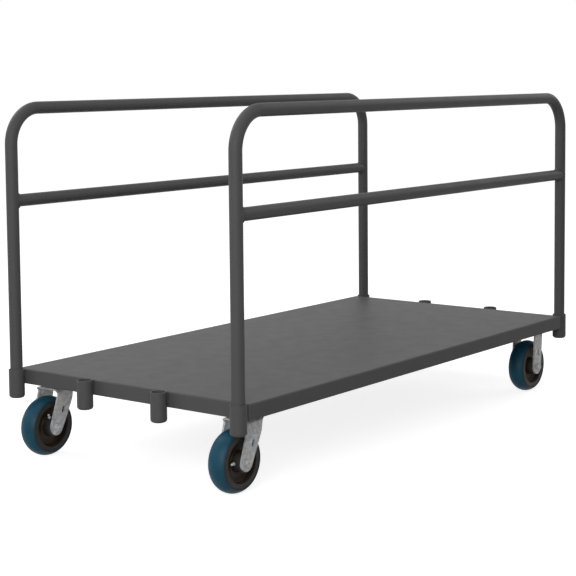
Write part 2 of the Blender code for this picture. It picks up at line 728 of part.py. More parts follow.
def build_dividers():
    """The two dividers, in the corner sockets along the deck's long sides."""
    hoop = hoop_mesh()
    rail = rail_mesh()
    for side_name, side in SIDES.items():
        carrier = frame_point(f"divider_{side_name}", (0, side * POST_Y, 0))
        piece(f"divider_{side_name}_hoop", hoop, GREY_PAINT, carrier)
        piece(f"divider_{side_name}_rail", rail, GREY_PAINT, carrier, (0, 0, DECK_TOP + RAIL_HEIGHT))


def build_wheel(name, axle_point, side, meshes):
    """The axle, which stays in its fork, and the wheel that turns on it."""
    carrier = axle_point.parent
    centre = axle_point.location if carrier else Vector((0, 0, 0))
    holder = carrier or axle_point
    outwards = (-side * math.pi / 2, 0, 0)
    seat = FORK_OUTSIDE / 2 + SEAT_GAP + AXLE_NUT_HEIGHT / 2
    nut_place = centre - Vector((0, side * seat, 0))
    piece(f"{name}_axle", meshes["axle"], ZINC, holder, centre, outwards)
    piece(f"{name}_axle_nut", meshes["axle_nut"], ZINC, holder, nut_place, outwards)
    piece(f"{name}_sleeve", meshes["sleeve"], STEEL, holder, centre, outwards)
    piece(f"{name}_rollers", meshes["rollers"], STEEL, axle_point, turn=outwards)
    piece(f"{name}_core", meshes["core"], DARK_CORE, axle_point, turn=outwards)
    piece(f"{name}_tread", meshes["tread"], BLUE_TREAD, axle_point, turn=outwards)
    face, fitting_turn = FITTING_PLACES[name]
    foot = HUB_OUTSIDE / 2 + SEAT_GAP
    way = Vector((math.sin(fitting_turn), 0, math.cos(fitting_turn)))
    place = way * foot + Vector((0, face * FITTING_SIDEWAYS, 0))
    piece(f"{name}_grease_fitting", meshes["fitting"], ZINC, axle_point, place, (0, fitting_turn, 0))


def build_casters(base):
    """Two swivel casters at one end and two rigid ones at the other."""
    meshes = {
        "axle": axle_mesh(),
        "axle_nut": nut_mesh(AXLE_HEAD_FLATS, AXLE_NUT_HEIGHT, AXLE_DIAMETER + 2 * SEAT_GAP),
        "sleeve": pipe_mesh(SLEEVE_OUTSIDE, AXLE_DIAMETER + 2 * SEAT_GAP, FORK_INSIDE - 2 * SEAT_GAP, PIN_SIDES),
        "rollers": pipe_mesh(CAGE_OUTSIDE, CAGE_INSIDE, CAGE_LENGTH, CORE_SIDES),
        "core": core_mesh(),
        "tread": tread_mesh(),
        "fitting": fitting_mesh(),
    }
    swivel_plate = plate_mesh(True)
    rigid_plate = plate_mesh(False)
    kingpin = turned(kingpin_profile(0), PIN_SIDES, False)
    kingpin_nut = nut_mesh(KINGPIN_NUT_FLATS, KINGPIN_NUT_HEIGHT, KINGPIN_DIAMETER + 2 * SEAT_GAP)
    nut_level = SWIVEL_CROWN_TOP - FORK_STEEL - SEAT_GAP - KINGPIN_NUT_HEIGHT / 2
    balls = balls_mesh()
    lower_race = lower_race_mesh()
    swivel_fork = swivel_fork_mesh()
    rigid_fork = rigid_fork_mesh()
    for side_name, side in SIDES.items():
        name = f"swivel_{side_name}"
        place = (KINGPIN_X, side * CASTER_Y, 0)
        piece(f"{name}_plate", swivel_plate, ZINC, base, place)
        piece(f"{name}_kingpin", kingpin, ZINC, base, place)
        piece(f"{name}_kingpin_nut", kingpin_nut, ZINC, base, (place[0], place[1], nut_level))
        turning = frame_point(name, place)
        piece(f"{name}_balls", balls, STEEL, turning)
        piece(f"{name}_race", lower_race, ZINC, turning)
        piece(f"{name}_fork", swivel_fork, ZINC, turning)
        axle_point = frame_point(f"{name}_wheel", (-SWIVEL_LEAD, 0, WHEEL_RADIUS), turning)
        build_wheel(name, axle_point, side, meshes)

        name = f"rigid_{side_name}"
        place = (RIGID_X, side * CASTER_Y, 0)
        piece(f"{name}_plate", rigid_plate, ZINC, base, place)
        piece(f"{name}_fork", rigid_fork, ZINC, base, place)
        axle_point = frame_point(f"{name}_wheel", (RIGID_X, side * CASTER_Y, WHEEL_RADIUS))
        build_wheel(name, axle_point, side, meshes)


base_point = frame_point("cart_base", (0, 0, 0))
build_deck(base_point)
build_dividers()
build_casters(base_point)
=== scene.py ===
"""Looks for the panel cart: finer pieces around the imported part, their finishes, the light and the camera.

X runs along the deck, from the swivel casters at -X to the rigid ones at +X. Y runs across it and Z is
up. Left is +Y and right is -Y. The origin is on the floor, under the middle of the deck. Lengths are in
metres.
"""

import math

import bmesh
import bpy
from mathutils import Matrix, Vector


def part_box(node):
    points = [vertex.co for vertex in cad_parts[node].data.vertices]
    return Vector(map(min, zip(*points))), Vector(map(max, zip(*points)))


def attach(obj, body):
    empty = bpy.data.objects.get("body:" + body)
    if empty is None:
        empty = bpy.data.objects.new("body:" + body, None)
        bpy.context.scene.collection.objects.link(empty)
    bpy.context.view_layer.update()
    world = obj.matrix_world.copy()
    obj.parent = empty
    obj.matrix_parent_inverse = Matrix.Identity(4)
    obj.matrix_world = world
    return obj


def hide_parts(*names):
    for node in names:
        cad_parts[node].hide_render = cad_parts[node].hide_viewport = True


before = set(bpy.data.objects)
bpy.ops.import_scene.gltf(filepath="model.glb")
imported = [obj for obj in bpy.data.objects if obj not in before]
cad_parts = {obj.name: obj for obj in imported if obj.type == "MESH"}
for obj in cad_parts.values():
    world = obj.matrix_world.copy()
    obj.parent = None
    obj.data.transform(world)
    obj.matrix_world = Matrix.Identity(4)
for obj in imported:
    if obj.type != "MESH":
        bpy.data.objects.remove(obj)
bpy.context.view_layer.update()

SIDES = {"right": -1, "left": 1}
QUARTER = math.pi / 2
MERGE_DISTANCE = 0.000001
FACING_COSINE = 0.9
SMOOTH_ANGLE = math.radians(32)
BEVEL_ANGLE = math.radians(40)
BEVEL_STEPS = 3
ROUND_STEP_ANGLE = math.radians(14)
HOLE_STEPS = 32


def middle(node):
    """The middle of a CAD node's box."""
    low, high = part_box(node)
    return (low + high) / 2


def size(node):
    """The size of a CAD node's box."""
    low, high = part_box(node)
    return high - low


# Deck
DECK_LENGTH = size("deck_pan").x
DECK_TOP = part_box("deck_pan")[1].z
RIM_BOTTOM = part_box("deck_pan")[0].z
DECK_SHEET = 0.0027
DECK_BEND = 0.0045
DECK_EDGE_SOFTNESS = 0.0006
CHANNEL_SHEET = 0.003
CHANNEL_BEND = 0.006
FOLD_STEPS = 8
ROUND_PROFILE = 0.5

# Sockets
POST_X = middle("socket_rigid_end_1").x
POST_Y = middle("socket_rigid_end_4").y
SOCKET_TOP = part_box("socket_rigid_end_1")[1].z
SOCKET_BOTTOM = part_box("socket_rigid_end_1")[0].z
SOCKETS_PER_END = 4
SOCKET_RADIUS = 0.0201
SOCKET_WALL = 0.0032
SOCKET_ROUND = 0.0075
SOCKET_MOUTH_ROUND = 0.0007
SOCKET_FLOOR_ROUND = 0.002
SOCKET_STEPS = 64

# Dividers
TUBE_RADIUS = 0.0159
TUBE_WALL = 0.003
TUBE_BEND = 0.092
TUBE_SIDES = 56
TUBE_BEND_STEPS = 28
POST_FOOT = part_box("divider_right_hoop")[0].z
HOOP_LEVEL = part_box("divider_right_hoop")[1].z - TUBE_RADIUS
RAIL_LEVEL = middle("divider_right_rail").z

# Weld beads
BEAD_RIPPLE = 0.0028
BEAD_RIPPLE_DEPTH = 0.0003
BEAD_VALLEY_SHARE = 0.15
SOCKET_BEAD_RADIUS = 0.0034
SOCKET_BEAD_ASIDE = 0.0098
SOCKET_BEAD_OUT = 0.0008
SOCKET_BEAD_INSET = 0.001
SOCKET_BEAD_STEPS = 14
RAIL_BEAD_RADIUS = 0.005
RAIL_BEAD_SIDE_SHARE = 0.3
RAIL_BEAD_STEPS = 168
RAIL_BEAD_SECTION_STEPS = 12

# Casters: places
CASTER_Y = middle("swivel_left_kingpin").y
KINGPIN_X = middle("swivel_left_kingpin").x
SWIVEL_AXLE_X = middle("swivel_left_tread").x
RIGID_AXLE_X = middle("rigid_left_tread").x
AXLE_LEVEL = middle("swivel_left_tread").z
CASTERS = [(f"{kind}_{name}", kind, SIDES[name]) for kind in ("swivel", "rigid") for name in SIDES]
HEAD_X = {"swivel": KINGPIN_X, "rigid": RIGID_AXLE_X}
AXLE_X = {"swivel": SWIVEL_AXLE_X, "rigid": RIGID_AXLE_X}
PLATE_SIZE = size("rigid_left_plate")
PLATE_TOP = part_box("rigid_left_plate")[1].z
PLATE_CORNER = 0.008
PLATE_SOFTNESS = 0.0008
BOLT_SPACING_ALONG = 0.0921
BOLT_SPACING_ACROSS = 0.0667

# Fasteners
THREAD_PITCH = 0.0015
THREAD_DEPTH = 0.0006
THREAD_IN_NUT = 0.001
HEX_FACE_SHARE = 0.47
HEX_STEPS = 48
BOLT_RADIUS = 0.0047
BOLT_HEAD_RADIUS = 0.0092
BOLT_HEAD_SINK = 0.0002
BOLT_DRIVE_RADIUS = 0.0031
BOLT_DRIVE_DEPTH = 0.0032
NUT_FLATS = 0.0143
NUT_HEIGHT = 0.008
BOLT_TAIL = 0.003
WASHER_RADIUS = 0.0102
WASHER_STEEL = 0.0016
SCREW_SOFTNESS = 0.0003
SCREW_STEPS = 32

# Swivel head
RACE_RADIUS = 0.033
RACE_INSIDE_RADIUS = 0.012
RACE_STEEL = 0.0025
RACE_LIP = 0.002
RACE_TURN = 0.0012
RACE_LIP_ROUND = 0.0006
RACE_BORE_ROUND = 0.0005
RACE_STEPS = 96
BALL_RADIUS = 0.00275
BALL_CIRCLE_RADIUS = 0.026
BALL_COUNT = 26
BALL_SEGMENTS = 16
BALL_RINGS = 10
KINGPIN_RADIUS = 0.00795
KINGPIN_HEAD_RADIUS = 0.0119
KINGPIN_HEAD_DEPTH = 0.004
KINGPIN_HEAD_ROUND = 0.0004
KINGPIN_NUT_FLATS = 0.0238
KINGPIN_STEPS = 48

# Forks
FORK_WIDTH = size("swivel_right_fork").y
FORK_STEEL = 0.0048
FORK_BEND = 0.009
FORK_FLAT_HALF = FORK_WIDTH / 2 - FORK_BEND
FORK_SOFTNESS = 0.0009
LEG_END_RADIUS = 0.0207
LEG_END_STEPS = 26
SWIVEL_LEG_BACK = 0.0025
SWIVEL_LEG_NECK = 0.0085
SWIVEL_NECK_DROP = 0.0105
SWIVEL_NECK_ROUND = 0.008
SWIVEL_LEG_FRONT = 0.0595
SWIVEL_LEG_KNEE = 0.056
SWIVEL_LEG_KNEE_RISE = 0.066
SWIVEL_KNEE_ROUND = 0.03
SWIVEL_CROWN_DROP = 0.0062
SWIVEL_CROWN_BACK_ROUND = 0.003
SWIVEL_CROWN_FRONT_ROUND = 0.006
SWIVEL_CROWN_TURN = math.radians(62)
SWIVEL_CROWN_STEPS = 14
SLOT_LENGTH = 0.018
SLOT_WIDTH = 0.0095
SLOT_FORWARD = 0.024
SLOT_RISE = 0.042
SLOT_TILT = math.radians(16)
SLOT_END_STEPS = 12
RIGID_LEG_HALF = 0.02225
RIGID_CROWN_HALF = 0.025
RIGID_LEG_LEAN = 0.008
RIGID_NECK_ROUND = 0.001
RIGID_SLOT_FORWARD = 0.006

# Axles
SEAT_GAP = 0.0003
AXLE_RADIUS = 0.00635
AXLE_HOLE_GAP = 0.0002
AXLE_HOLE_STEPS = 28
AXLE_NUT_GAP = 0.0001
AXLE_STEPS = 40
AXLE_FLATS = 0.019
AXLE_HEAD = 0.0065
AXLE_NUT = 0.009
AXLE_TAIL = 0.002
AXLE_WASHER_RADIUS = 0.0125
AXLE_WASHER_STEEL = 0.0012
AXLE_WASHER_STEPS = 48
SLEEVE_RADIUS = 0.0095
SLEEVE_WALL = 0.00285
SLEEVE_EDGE_ROUND = 0.0003
SLEEVE_STEPS = 48

# Wheels
WHEEL_RADIUS = 0.0762
WHEEL_STEPS = 128
TREAD_HALF = 0.0254
TREAD_INSIDE_RADIUS = 0.0635
TREAD_SIDE_DEPTH = 0.0018
TREAD_EDGE_ROUND = 0.003
TREAD_FACE_STEPS = 24
TREAD_FACE_TRIM = 2
RIM_HALF = 0.02425
RIM_INSIDE_RADIUS = 0.0515
RIM_SEAT_ROUND = 0.0008
RIM_EDGE_ROUND = 0.0015
CORE_DRAFT = 0.003
CORE_FILLET = 0.004
WEB_HALF = 0.008
HUB_HALF = 0.03175
HUB_RADIUS = 0.024
HUB_DRAFT = 0.0008
HUB_EDGE_ROUND = 0.0012
HUB_BORE_RADIUS = 0.0146
HUB_BORE_ROUND = 0.0008
ROLLER_RADIUS = 0.0021
ROLLER_EDGE_ROUND = 0.0004
ROLLER_COUNT = 12
ROLLER_STEPS = 16
CAGE_RADIUS = 0.0143
CAGE_INSIDE_RADIUS = 0.0098
CAGE_HALF = 0.02925
CAGE_RING = 0.003
CAGE_INNER_ROUND = 0.0004
CAGE_OUTER_ROUND = 0.0006
CAGE_STEPS = 64

# Grease fittings
FITTING_HEX_FLATS = 0.0075
FITTING_HEX_HEIGHT = 0.0042
FITTING_HEIGHT = 0.0115
FITTING_NECK_RADIUS = 0.0024
FITTING_BALL_RADIUS = 0.0032
FITTING_NECK_FOOT = 0.0005
FITTING_NECK_SHARE = 0.7
FITTING_NECK_ANGLE = math.radians(45)
FITTING_BALL_STEPS = 12
FITTING_STEPS = 24

# Colours, in linear light
PAINT_GREY = (0.078, 0.078, 0.079)
PAINT_DARK_CLOUD = (0.0765, 0.0765, 0.0772)
PAINT_PALE_CLOUD = (0.0795, 0.0795, 0.0802)
PAINT_SPECKLE = (0.098, 0.098, 0.099)
WELD_DARK = (0.07, 0.07, 0.071)
WELD_PALE = (0.085, 0.085, 0.086)
ZINC_GREY = (0.38, 0.38, 0.39)
ZINC_DARK = (0.34, 0.344, 0.352)
ZINC_PALE = (0.6, 0.605, 0.615)
ZINC_TARNISH = (0.4, 0.375, 0.32)
STEEL_GREY = (0.4, 0.4, 0.41)
STEEL_DARK = (0.34, 0.34, 0.35)
STEEL_PALE = (0.47, 0.47, 0.48)
TREAD_BLUE = (0.009, 0.056, 0.09)
TREAD_DARK_BLUE = (0.0075, 0.049, 0.081)
TREAD_PALE_BLUE = (0.0105, 0.063, 0.099)
TREAD_EDGE_GREY = (0.014, 0.027, 0.036)
CORE_BROWN = (0.022, 0.016, 0.013)
CORE_RECESS_DARK = (0.017, 0.0105, 0.0075)
CORE_RECESS_PALE = (0.026, 0.016, 0.011)
CORE_RING_DARK = (0.02, 0.019, 0.017)
CORE_RING_PALE = (0.028, 0.027, 0.025)
WHITE = (1, 1, 1)

# Floor and light, in metres and watts
FLOOR_REACH = 40
FLOOR_GREY = (0.5, 0.5, 0.5)
FLOOR_BOUNCE_GREY = (0.3, 0.3, 0.3)
FLOOR_GLOW = 0.84
FLOOR_FADE_START = 1.2
FLOOR_FADE_END = 3.2
WORLD_LIGHT = 0.06
LAMP_WIDTH = 2.6
LAMP_TARGET = (0, 0, 0.35)
LAMPS = {
    "front_box": ((-3.9, -1.99, 1.77), 118),
    "left_front_box": ((-3.79, 2.19, 1.77), 22),
    "left_box": ((-0.61, 3.47, 3.31), 90),
    "overhead_box": ((-0.4, 0, 4.93), 40),
    "far_box": ((3.74, -1.36, 2.65), 40),
}

# Camera, its lens and sensor in millimetres
CAMERA_PLACE = (-3.41834, -2.51810, 0.97108)
CAMERA_HEADING = math.radians(-52.7138)
CAMERA_DIP = math.radians(4.8257)
CAMERA_ROLL = math.radians(-0.5164)
CAMERA_SENSOR = 36
CAMERA_LENS = 95.3185
CAMERA_SHIFT = -0.15
CAMERA_NEAREST = 0.1
CAMERA_FARTHEST = 200


def arc(centre, radius, start, end, steps):
    """Points along an arc, both ends included."""
    angles = [start + (end - start) * step / steps for step in range(steps + 1)]
    return [Vector((centre[0] + radius * math.cos(a), centre[1] + radius * math.sin(a))) for a in angles]


def ring_of_points(centre, radius, steps):
    """Points round a full circle, none of them twice."""
    return arc(centre, radius, 0, 2 * math.pi, steps)[:-1]


def sharp(points):
    """Corners without a rounding from points."""
    return [(point.x, point.y, 0) for point in points]


def softened(corners, is_closed=True):
    """An outline from corners, each a place and the radius that rounds it off."""
    outline = []
    for number, (x, y, radius) in enumerate(corners):
        here = Vector((x, y))
        is_end = not is_closed and number in (0, len(corners) - 1)
        if radius == 0 or is_end:
            outline.append(here)
            continue
        back = (Vector(corners[number - 1][:2]) - here).normalized()
        ahead = (Vector(corners[(number + 1) % len(corners)][:2]) - here).normalized()
        half = back.angle(ahead) / 2
        centre = here + (back + ahead).normalized() * (radius / math.sin(half))
        start = here + back * (radius / math.tan(half)) - centre
        sweep = math.pi - 2 * half
        if back.x * ahead.y - back.y * ahead.x > 0:
            sweep = -sweep
        steps = max(2, round(abs(sweep) / ROUND_STEP_ANGLE))
        for step in range(steps + 1):
            outline.append(centre + Matrix.Rotation(sweep * step / steps, 2) @ start)
    return outline


def outward(shape):
    """Merges a shape's doubles and points its faces outwards."""
    bmesh.ops.remove_doubles(shape, verts=shape.verts, dist=MERGE_DISTANCE)
    bmesh.ops.recalc_face_normals(shape, faces=shape.faces)
    return shape


def turned(profile, steps, is_ring):
    """A round shape about Z from corners of radius, height and rounding."""
    shape = bmesh.new()
    corners = [shape.verts.new((point.x, 0, point.y)) for point in softened(profile, is_ring)]
    pairs = list(zip(corners, corners[1:]))
    if is_ring:
        pairs.append((corners[-1], corners[0]))
    edges = [shape.edges.new(pair) for pair in pairs]
    line = corners + edges
    bmesh.ops.spin(shape, geom=line, axis=(0, 0, 1), angle=2 * math.pi, steps=steps, use_merge=True)
    return outward(shape)


def flat_sheet(outlines):
    """A flat face with its first outline as its edge and the others as holes."""
    shape = bmesh.new()
    edges = []
    for outline in outlines:
        corners = [shape.verts.new((*point, 0)) for point in outline]
        edges += [shape.edges.new(pair) for pair in zip(corners, corners[1:] + corners[:1])]
    bmesh.ops.triangle_fill(shape, use_beauty=True, use_dissolve=False, edges=edges, normal=(0, 0, 1))
    bmesh.ops.recalc_face_normals(shape, faces=shape.faces)
    if sum(face.normal.z for face in shape.faces) < 0:
        bmesh.ops.reverse_faces(shape, faces=shape.faces)
    return shape


def mesh_of(name, shape):
    """A mesh from a shape, which it uses up."""
    mesh = bpy.data.meshes.new(name)
    shape.to_mesh(mesh)
    shape.free()
    return mesh


def in_scene(name, data):
    """A new object in the scene with that data."""
    made = bpy.data.objects.new(name, data)
    bpy.context.scene.collection.objects.link(made)
    return made


def joined(shapes):
    """One shape from several."""
    whole = bmesh.new()
    for shape in shapes:
        mesh = mesh_of("part", shape)
        whole.from_mesh(mesh)
        bpy.data.meshes.remove(mesh)
    return whole


def placed(shape, *turns):
    """Moves a shape by matrices, the last of them first."""
    matrix = Matrix.Identity(4)
    for turn in turns:
        matrix = matrix @ turn
    bmesh.ops.transform(shape, matrix=matrix, verts=shape.verts)
    return shape


def copied(shape, places):
    """The shape repeated at each place."""
    return joined([placed(shape.copy(), Matrix.Translation(place)) for place in places])


def along_y(way=1):
    """Lays what stands along Z along Y, its top towards +Y or -Y."""
    return Matrix.Rotation(-way * QUARTER, 4, "X")


def six_sided(shape, flats, face_radius):
    """Moves the outer wall of a turned shape on to six flats, with the corners chamfered."""
    for vert in shape.verts:
        radius = math.hypot(vert.co.x, vert.co.y)
        if radius <= face_radius + MERGE_DISTANCE:
            continue
        angle = math.atan2(vert.co.y, vert.co.x) % (math.pi / 3) - math.pi / 6
        wanted = flats / 2 / math.cos(angle)
        vert.co.x *= wanted / radius
        vert.co.y *= wanted / radius
        drop = (wanted - face_radius) * math.tan(math.pi / 6)
        vert.co.z -= math.copysign(drop, vert.co.z)
    return shape


def hexagon(flats, height, bore, level):
    """A nut along Z with its middle at a level. Without a bore it is a bolt's head."""
    half = height / 2
    face = flats * HEX_FACE_SHARE
    under = [(bore, -half, 0), (face, -half, 0), (flats, -half, 0)]
    over = [(flats, half, 0), (face, half, 0), (bore, half, 0)]
    nut = six_sided(turned(under + over, HEX_STEPS, bore > 0), flats, face)
    return placed(nut, Matrix.Translation((0, 0, level)))


def washer_shape(bore, radius, low, high, steps):
    """A flat washer about Z between two heights, its outer edges softened."""
    soft = SCREW_SOFTNESS
    return turned([(bore, low, 0), (radius, low, soft), (radius, high, soft), (bore, high, 0)], steps, True)


def threaded(radius, start, end):
    """A bolt's threaded end as a profile, from the start height to the tip on the axis at the end height."""
    way = math.copysign(1, end - start)
    root = radius - THREAD_DEPTH
    profile = []
    for number in range(int(abs(end - start) / THREAD_PITCH)):
        level = start + way * number * THREAD_PITCH
        profile += [(radius, level, 0), (root, level + way * THREAD_PITCH / 2, 0)]
    return profile + [(root, end, 0), (0, end, 0)]


def piece(name, shape, finish, body, replaced=(), gauge=0, softness=0):
    """A named piece of the cart: its sheet gets a gauge, its edges are softened, and it rides on a body."""
    made = in_scene(name, mesh_of(name, shape))
    if gauge:
        solidify = made.modifiers.new("gauge", "SOLIDIFY")
        solidify.thickness = gauge
        solidify.offset = -1
        solidify.use_even_offset = True
    if softness:
        bevel = made.modifiers.new("softness", "BEVEL")
        bevel.width = softness
        bevel.segments = BEVEL_STEPS
        bevel.limit_method = "ANGLE"
        bevel.angle_limit = BEVEL_ANGLE
        bevel.use_clamp_overlap = True
    baked(made)
    made.data.shade_smooth()
    made.data.set_sharp_from_angle(angle=SMOOTH_ANGLE)
    weighted = made.modifiers.new("even shading", "WEIGHTED_NORMAL")
    weighted.keep_sharp = True
    baked(made)
    made.data.materials.clear()
    made.data.materials.append(finish)
    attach(made, body)
    if replaced:
        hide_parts(*replaced)


def baked(made):
    """Applies an object's modifiers to its mesh."""
    graph = bpy.context.evaluated_depsgraph_get()
    finished = made.evaluated_get(graph)
    mesh = bpy.data.meshes.new_from_object(finished, preserve_all_data_layers=True, depsgraph=graph)
    made.modifiers.clear()
    made.data = mesh
    mesh.name = made.name


class Finish:
    """A node material in the making."""

    def __init__(self, name, slot, colour, roughness, metallic, specular):
        self.material = bpy.data.materials.new(name)
        self.material.use_nodes = True
        self.material["slot"] = slot
        self.nodes = self.material.node_tree.nodes
        self.links = self.material.node_tree.links
        self.shader = self.nodes["Principled BSDF"]
        self.shader.inputs["Base Color"].default_value = (*colour, 1)
        self.shader.inputs["Roughness"].default_value = roughness
        self.shader.inputs["Metallic"].default_value = metallic
        self.shader.inputs["Specular IOR Level"].default_value = specular
        self.places = self.nodes.new("ShaderNodeTexCoord").outputs["Object"]

    def stretched(self, scale):
        """Places stretched before a pattern reads them."""
        mapping = self.nodes.new("ShaderNodeMapping")
        mapping.inputs["Scale"].default_value = scale
        self.links.new(self.places, mapping.inputs["Vector"])
        return mapping.outputs["Vector"]

    def noise(self, scale, detail=2, roughness=0.5, places=None):
        """Smooth random values from 0 to 1."""
        noise = self.nodes.new("ShaderNodeTexNoise")
        noise.inputs["Scale"].default_value = scale
        noise.inputs["Detail"].default_value = detail
        noise.inputs["Roughness"].default_value = roughness
        self.links.new(places or self.places, noise.inputs["Vector"])
        return noise.outputs["Fac"]

    def spread(self, value, low=0, high=1, from_low=0.35, from_high=0.65):
        """A value moved from one range to another."""
        spread = self.nodes.new("ShaderNodeMapRange")
        spread.inputs["From Min"].default_value = from_low
        spread.inputs["From Max"].default_value = from_high
        spread.inputs["To Min"].default_value = low
        spread.inputs["To Max"].default_value = high
        self.links.new(value, spread.inputs["Value"])
        return spread.outputs["Result"]

    def math(self, operation, first, second=0):
        """One sum on a value and a number."""
        step = self.nodes.new("ShaderNodeMath")
        step.operation = operation
        self.links.new(first, step.inputs[0])
        step.inputs[1].default_value = second
        return step.outputs["Value"]

    def share(self, value, part):
        """That part of a value."""
        return self.math("MULTIPLY", value, part)

    def blend(self, amount, first, second):
        """A colour between two others."""
        mix = self.nodes.new("ShaderNodeMix")
        mix.data_type = "RGBA"
        self.links.new(amount, mix.inputs["Factor"])
        for socket, colour in ((mix.inputs["A"], first), (mix.inputs["B"], second)):
            if isinstance(colour, tuple):
                socket.default_value = (*colour, 1)
            else:
                self.links.new(colour, socket)
        return mix.outputs["Result"]

    def bump(self, height, distance, strength):
        """Relief of that many metres."""
        bump = self.nodes.new("ShaderNodeBump")
        bump.inputs["Distance"].default_value = distance
        bump.inputs["Strength"].default_value = strength
        self.links.new(height, bump.inputs["Height"])
        return bump.outputs["Normal"]

    def set(self, socket, value):
        """Feeds a pattern to the shader."""
        self.links.new(value, self.shader.inputs[socket])

    def side_offset(self):
        """How far a place is from the middle plane of its wheel, at either side of the cart."""
        parts = self.nodes.new("ShaderNodeSeparateXYZ")
        self.links.new(self.places, parts.inputs["Vector"])
        outwards = self.math("ABSOLUTE", parts.outputs["Y"])
        return self.math("ABSOLUTE", self.math("SUBTRACT", outwards, CASTER_Y))


def grey_paint_finish():
    """Powder coat on the deck, sockets and dividers: grey, satin, with a fine orange peel."""
    paint = Finish("grey_paint", "grey_paint", PAINT_GREY, roughness=0.5, metallic=0, specular=0.1)
    cloud = paint.spread(paint.noise(3.5, detail=3))
    speckle = paint.spread(paint.noise(260))
    broad = paint.blend(cloud, PAINT_DARK_CLOUD, PAINT_PALE_CLOUD)
    paint.set("Base Color", paint.blend(paint.share(speckle, 0.1), broad, PAINT_SPECKLE))
    paint.set("Roughness", paint.spread(paint.noise(22, detail=3), low=0.485, high=0.525))
    paint.set("Normal", paint.bump(paint.noise(620), distance=0.0001, strength=0.4))
    return paint.material


def weld_finish():
    """Weld beads under the same powder coat."""
    paint = Finish("painted_weld", "grey_paint", PAINT_GREY, roughness=0.54, metallic=0, specular=0.1)
    cloud = paint.spread(paint.noise(90, detail=3))
    paint.set("Base Color", paint.blend(cloud, WELD_DARK, WELD_PALE))
    paint.set("Normal", paint.bump(paint.noise(480, detail=3), distance=0.0003, strength=0.6))
    return paint.material


def zinc_finish():
    """Zinc plate on pressed steel, mottled, with a faint warm tarnish."""
    zinc = Finish("zinc_plate", "zinc_plate", ZINC_GREY, roughness=0.4, metallic=0.2, specular=0.3)
    mottle = zinc.spread(zinc.noise(95, detail=3, roughness=0.55), from_low=0.34, from_high=0.66)
    tarnish = zinc.spread(zinc.noise(28), from_low=0.45, from_high=0.7)
    plain = zinc.blend(mottle, ZINC_DARK, ZINC_PALE)
    zinc.set("Base Color", zinc.blend(zinc.share(tarnish, 0.4), plain, ZINC_TARNISH))
    zinc.set("Roughness", zinc.spread(zinc.noise(140, detail=3), low=0.34, high=0.52))
    zinc.set("Normal", zinc.bump(zinc.noise(350, detail=3), distance=0.0002, strength=0.35))
    return zinc.material


def steel_finish():
    """Ground bare steel with turning marks."""
    steel = Finish("plain_steel", "plain_steel", STEEL_GREY, roughness=0.28, metallic=1, specular=0.5)
    streaks = steel.noise(60, places=steel.stretched((1, 22, 1)))
    steel.set("Base Color", steel.blend(steel.spread(streaks), STEEL_DARK, STEEL_PALE))
    steel.set("Roughness", steel.spread(streaks, low=0.22, high=0.38))
    return steel.material


def tread_finish():
    """Blue moulded tread, satin, greyer where it meets the core."""
    tread = Finish("blue_tread", "blue_tread", TREAD_BLUE, roughness=0.5, metallic=0, specular=0.15)
    cloud = tread.spread(tread.noise(34, detail=3))
    blue = tread.blend(cloud, TREAD_DARK_BLUE, TREAD_PALE_BLUE)
    edge = tread.spread(tread.side_offset(), from_low=0.0205, from_high=0.0252)
    tread.set("Base Color", tread.blend(edge, blue, TREAD_EDGE_GREY))
    tread.set("Roughness", tread.spread(tread.noise(60), low=0.44, high=0.56))
    tread.set("Normal", tread.bump(tread.noise(420), distance=0.0001, strength=0.4))
    return tread.material


def core_finish():
    """Dark cast core, brown-black in the recess and greyer on the ring round it."""
    core = Finish("dark_core", "dark_core", CORE_BROWN, roughness=0.5, metallic=0, specular=0.2)
    cloud = core.spread(core.noise(48, detail=3))
    recess = core.blend(cloud, CORE_RECESS_DARK, CORE_RECESS_PALE)
    ring = core.blend(cloud, CORE_RING_DARK, CORE_RING_PALE)
    depth = core.spread(core.side_offset(), from_low=0.018, from_high=0.0235)
    core.set("Base Color", core.blend(depth, recess, ring))
    core.set("Roughness", core.spread(core.noise(70, detail=3), low=0.46, high=0.6))
    core.set("Normal", core.bump(core.noise(520, detail=4), distance=0.0003, strength=0.5))
    return core.material


GREY_PAINT = grey_paint_finish()
PAINTED_WELD = weld_finish()
ZINC = zinc_finish()
STEEL = steel_finish()
BLUE_TREAD = tread_finish()
DARK_CORE = core_finish()


def folded_shell(node, open_ways, bend):
    """The outside of a folded sheet as large as its CAD node, without the sides that are open."""
    shape = bmesh.new()
    matrix = Matrix.Translation(middle(node)) @ Matrix.Diagonal((*size(node), 1))
    bmesh.ops.create_cube(shape, size=1, matrix=matrix)
    bmesh.ops.recalc_face_normals(shape, faces=shape.faces)
    gone = []
    for way in open_ways:
        gone += [face for face in shape.faces if face.normal.dot(Vector(way)) > FACING_COSINE]
    bmesh.ops.delete(shape, geom=gone, context="FACES")
    folds = [edge for edge in shape.edges if len(edge.link_faces) == 2]
    bmesh.ops.bevel(
        shape,
        geom=folds,
        offset=bend,
        segments=FOLD_STEPS,
        profile=ROUND_PROFILE,
        affect="EDGES",
    )
    return shape


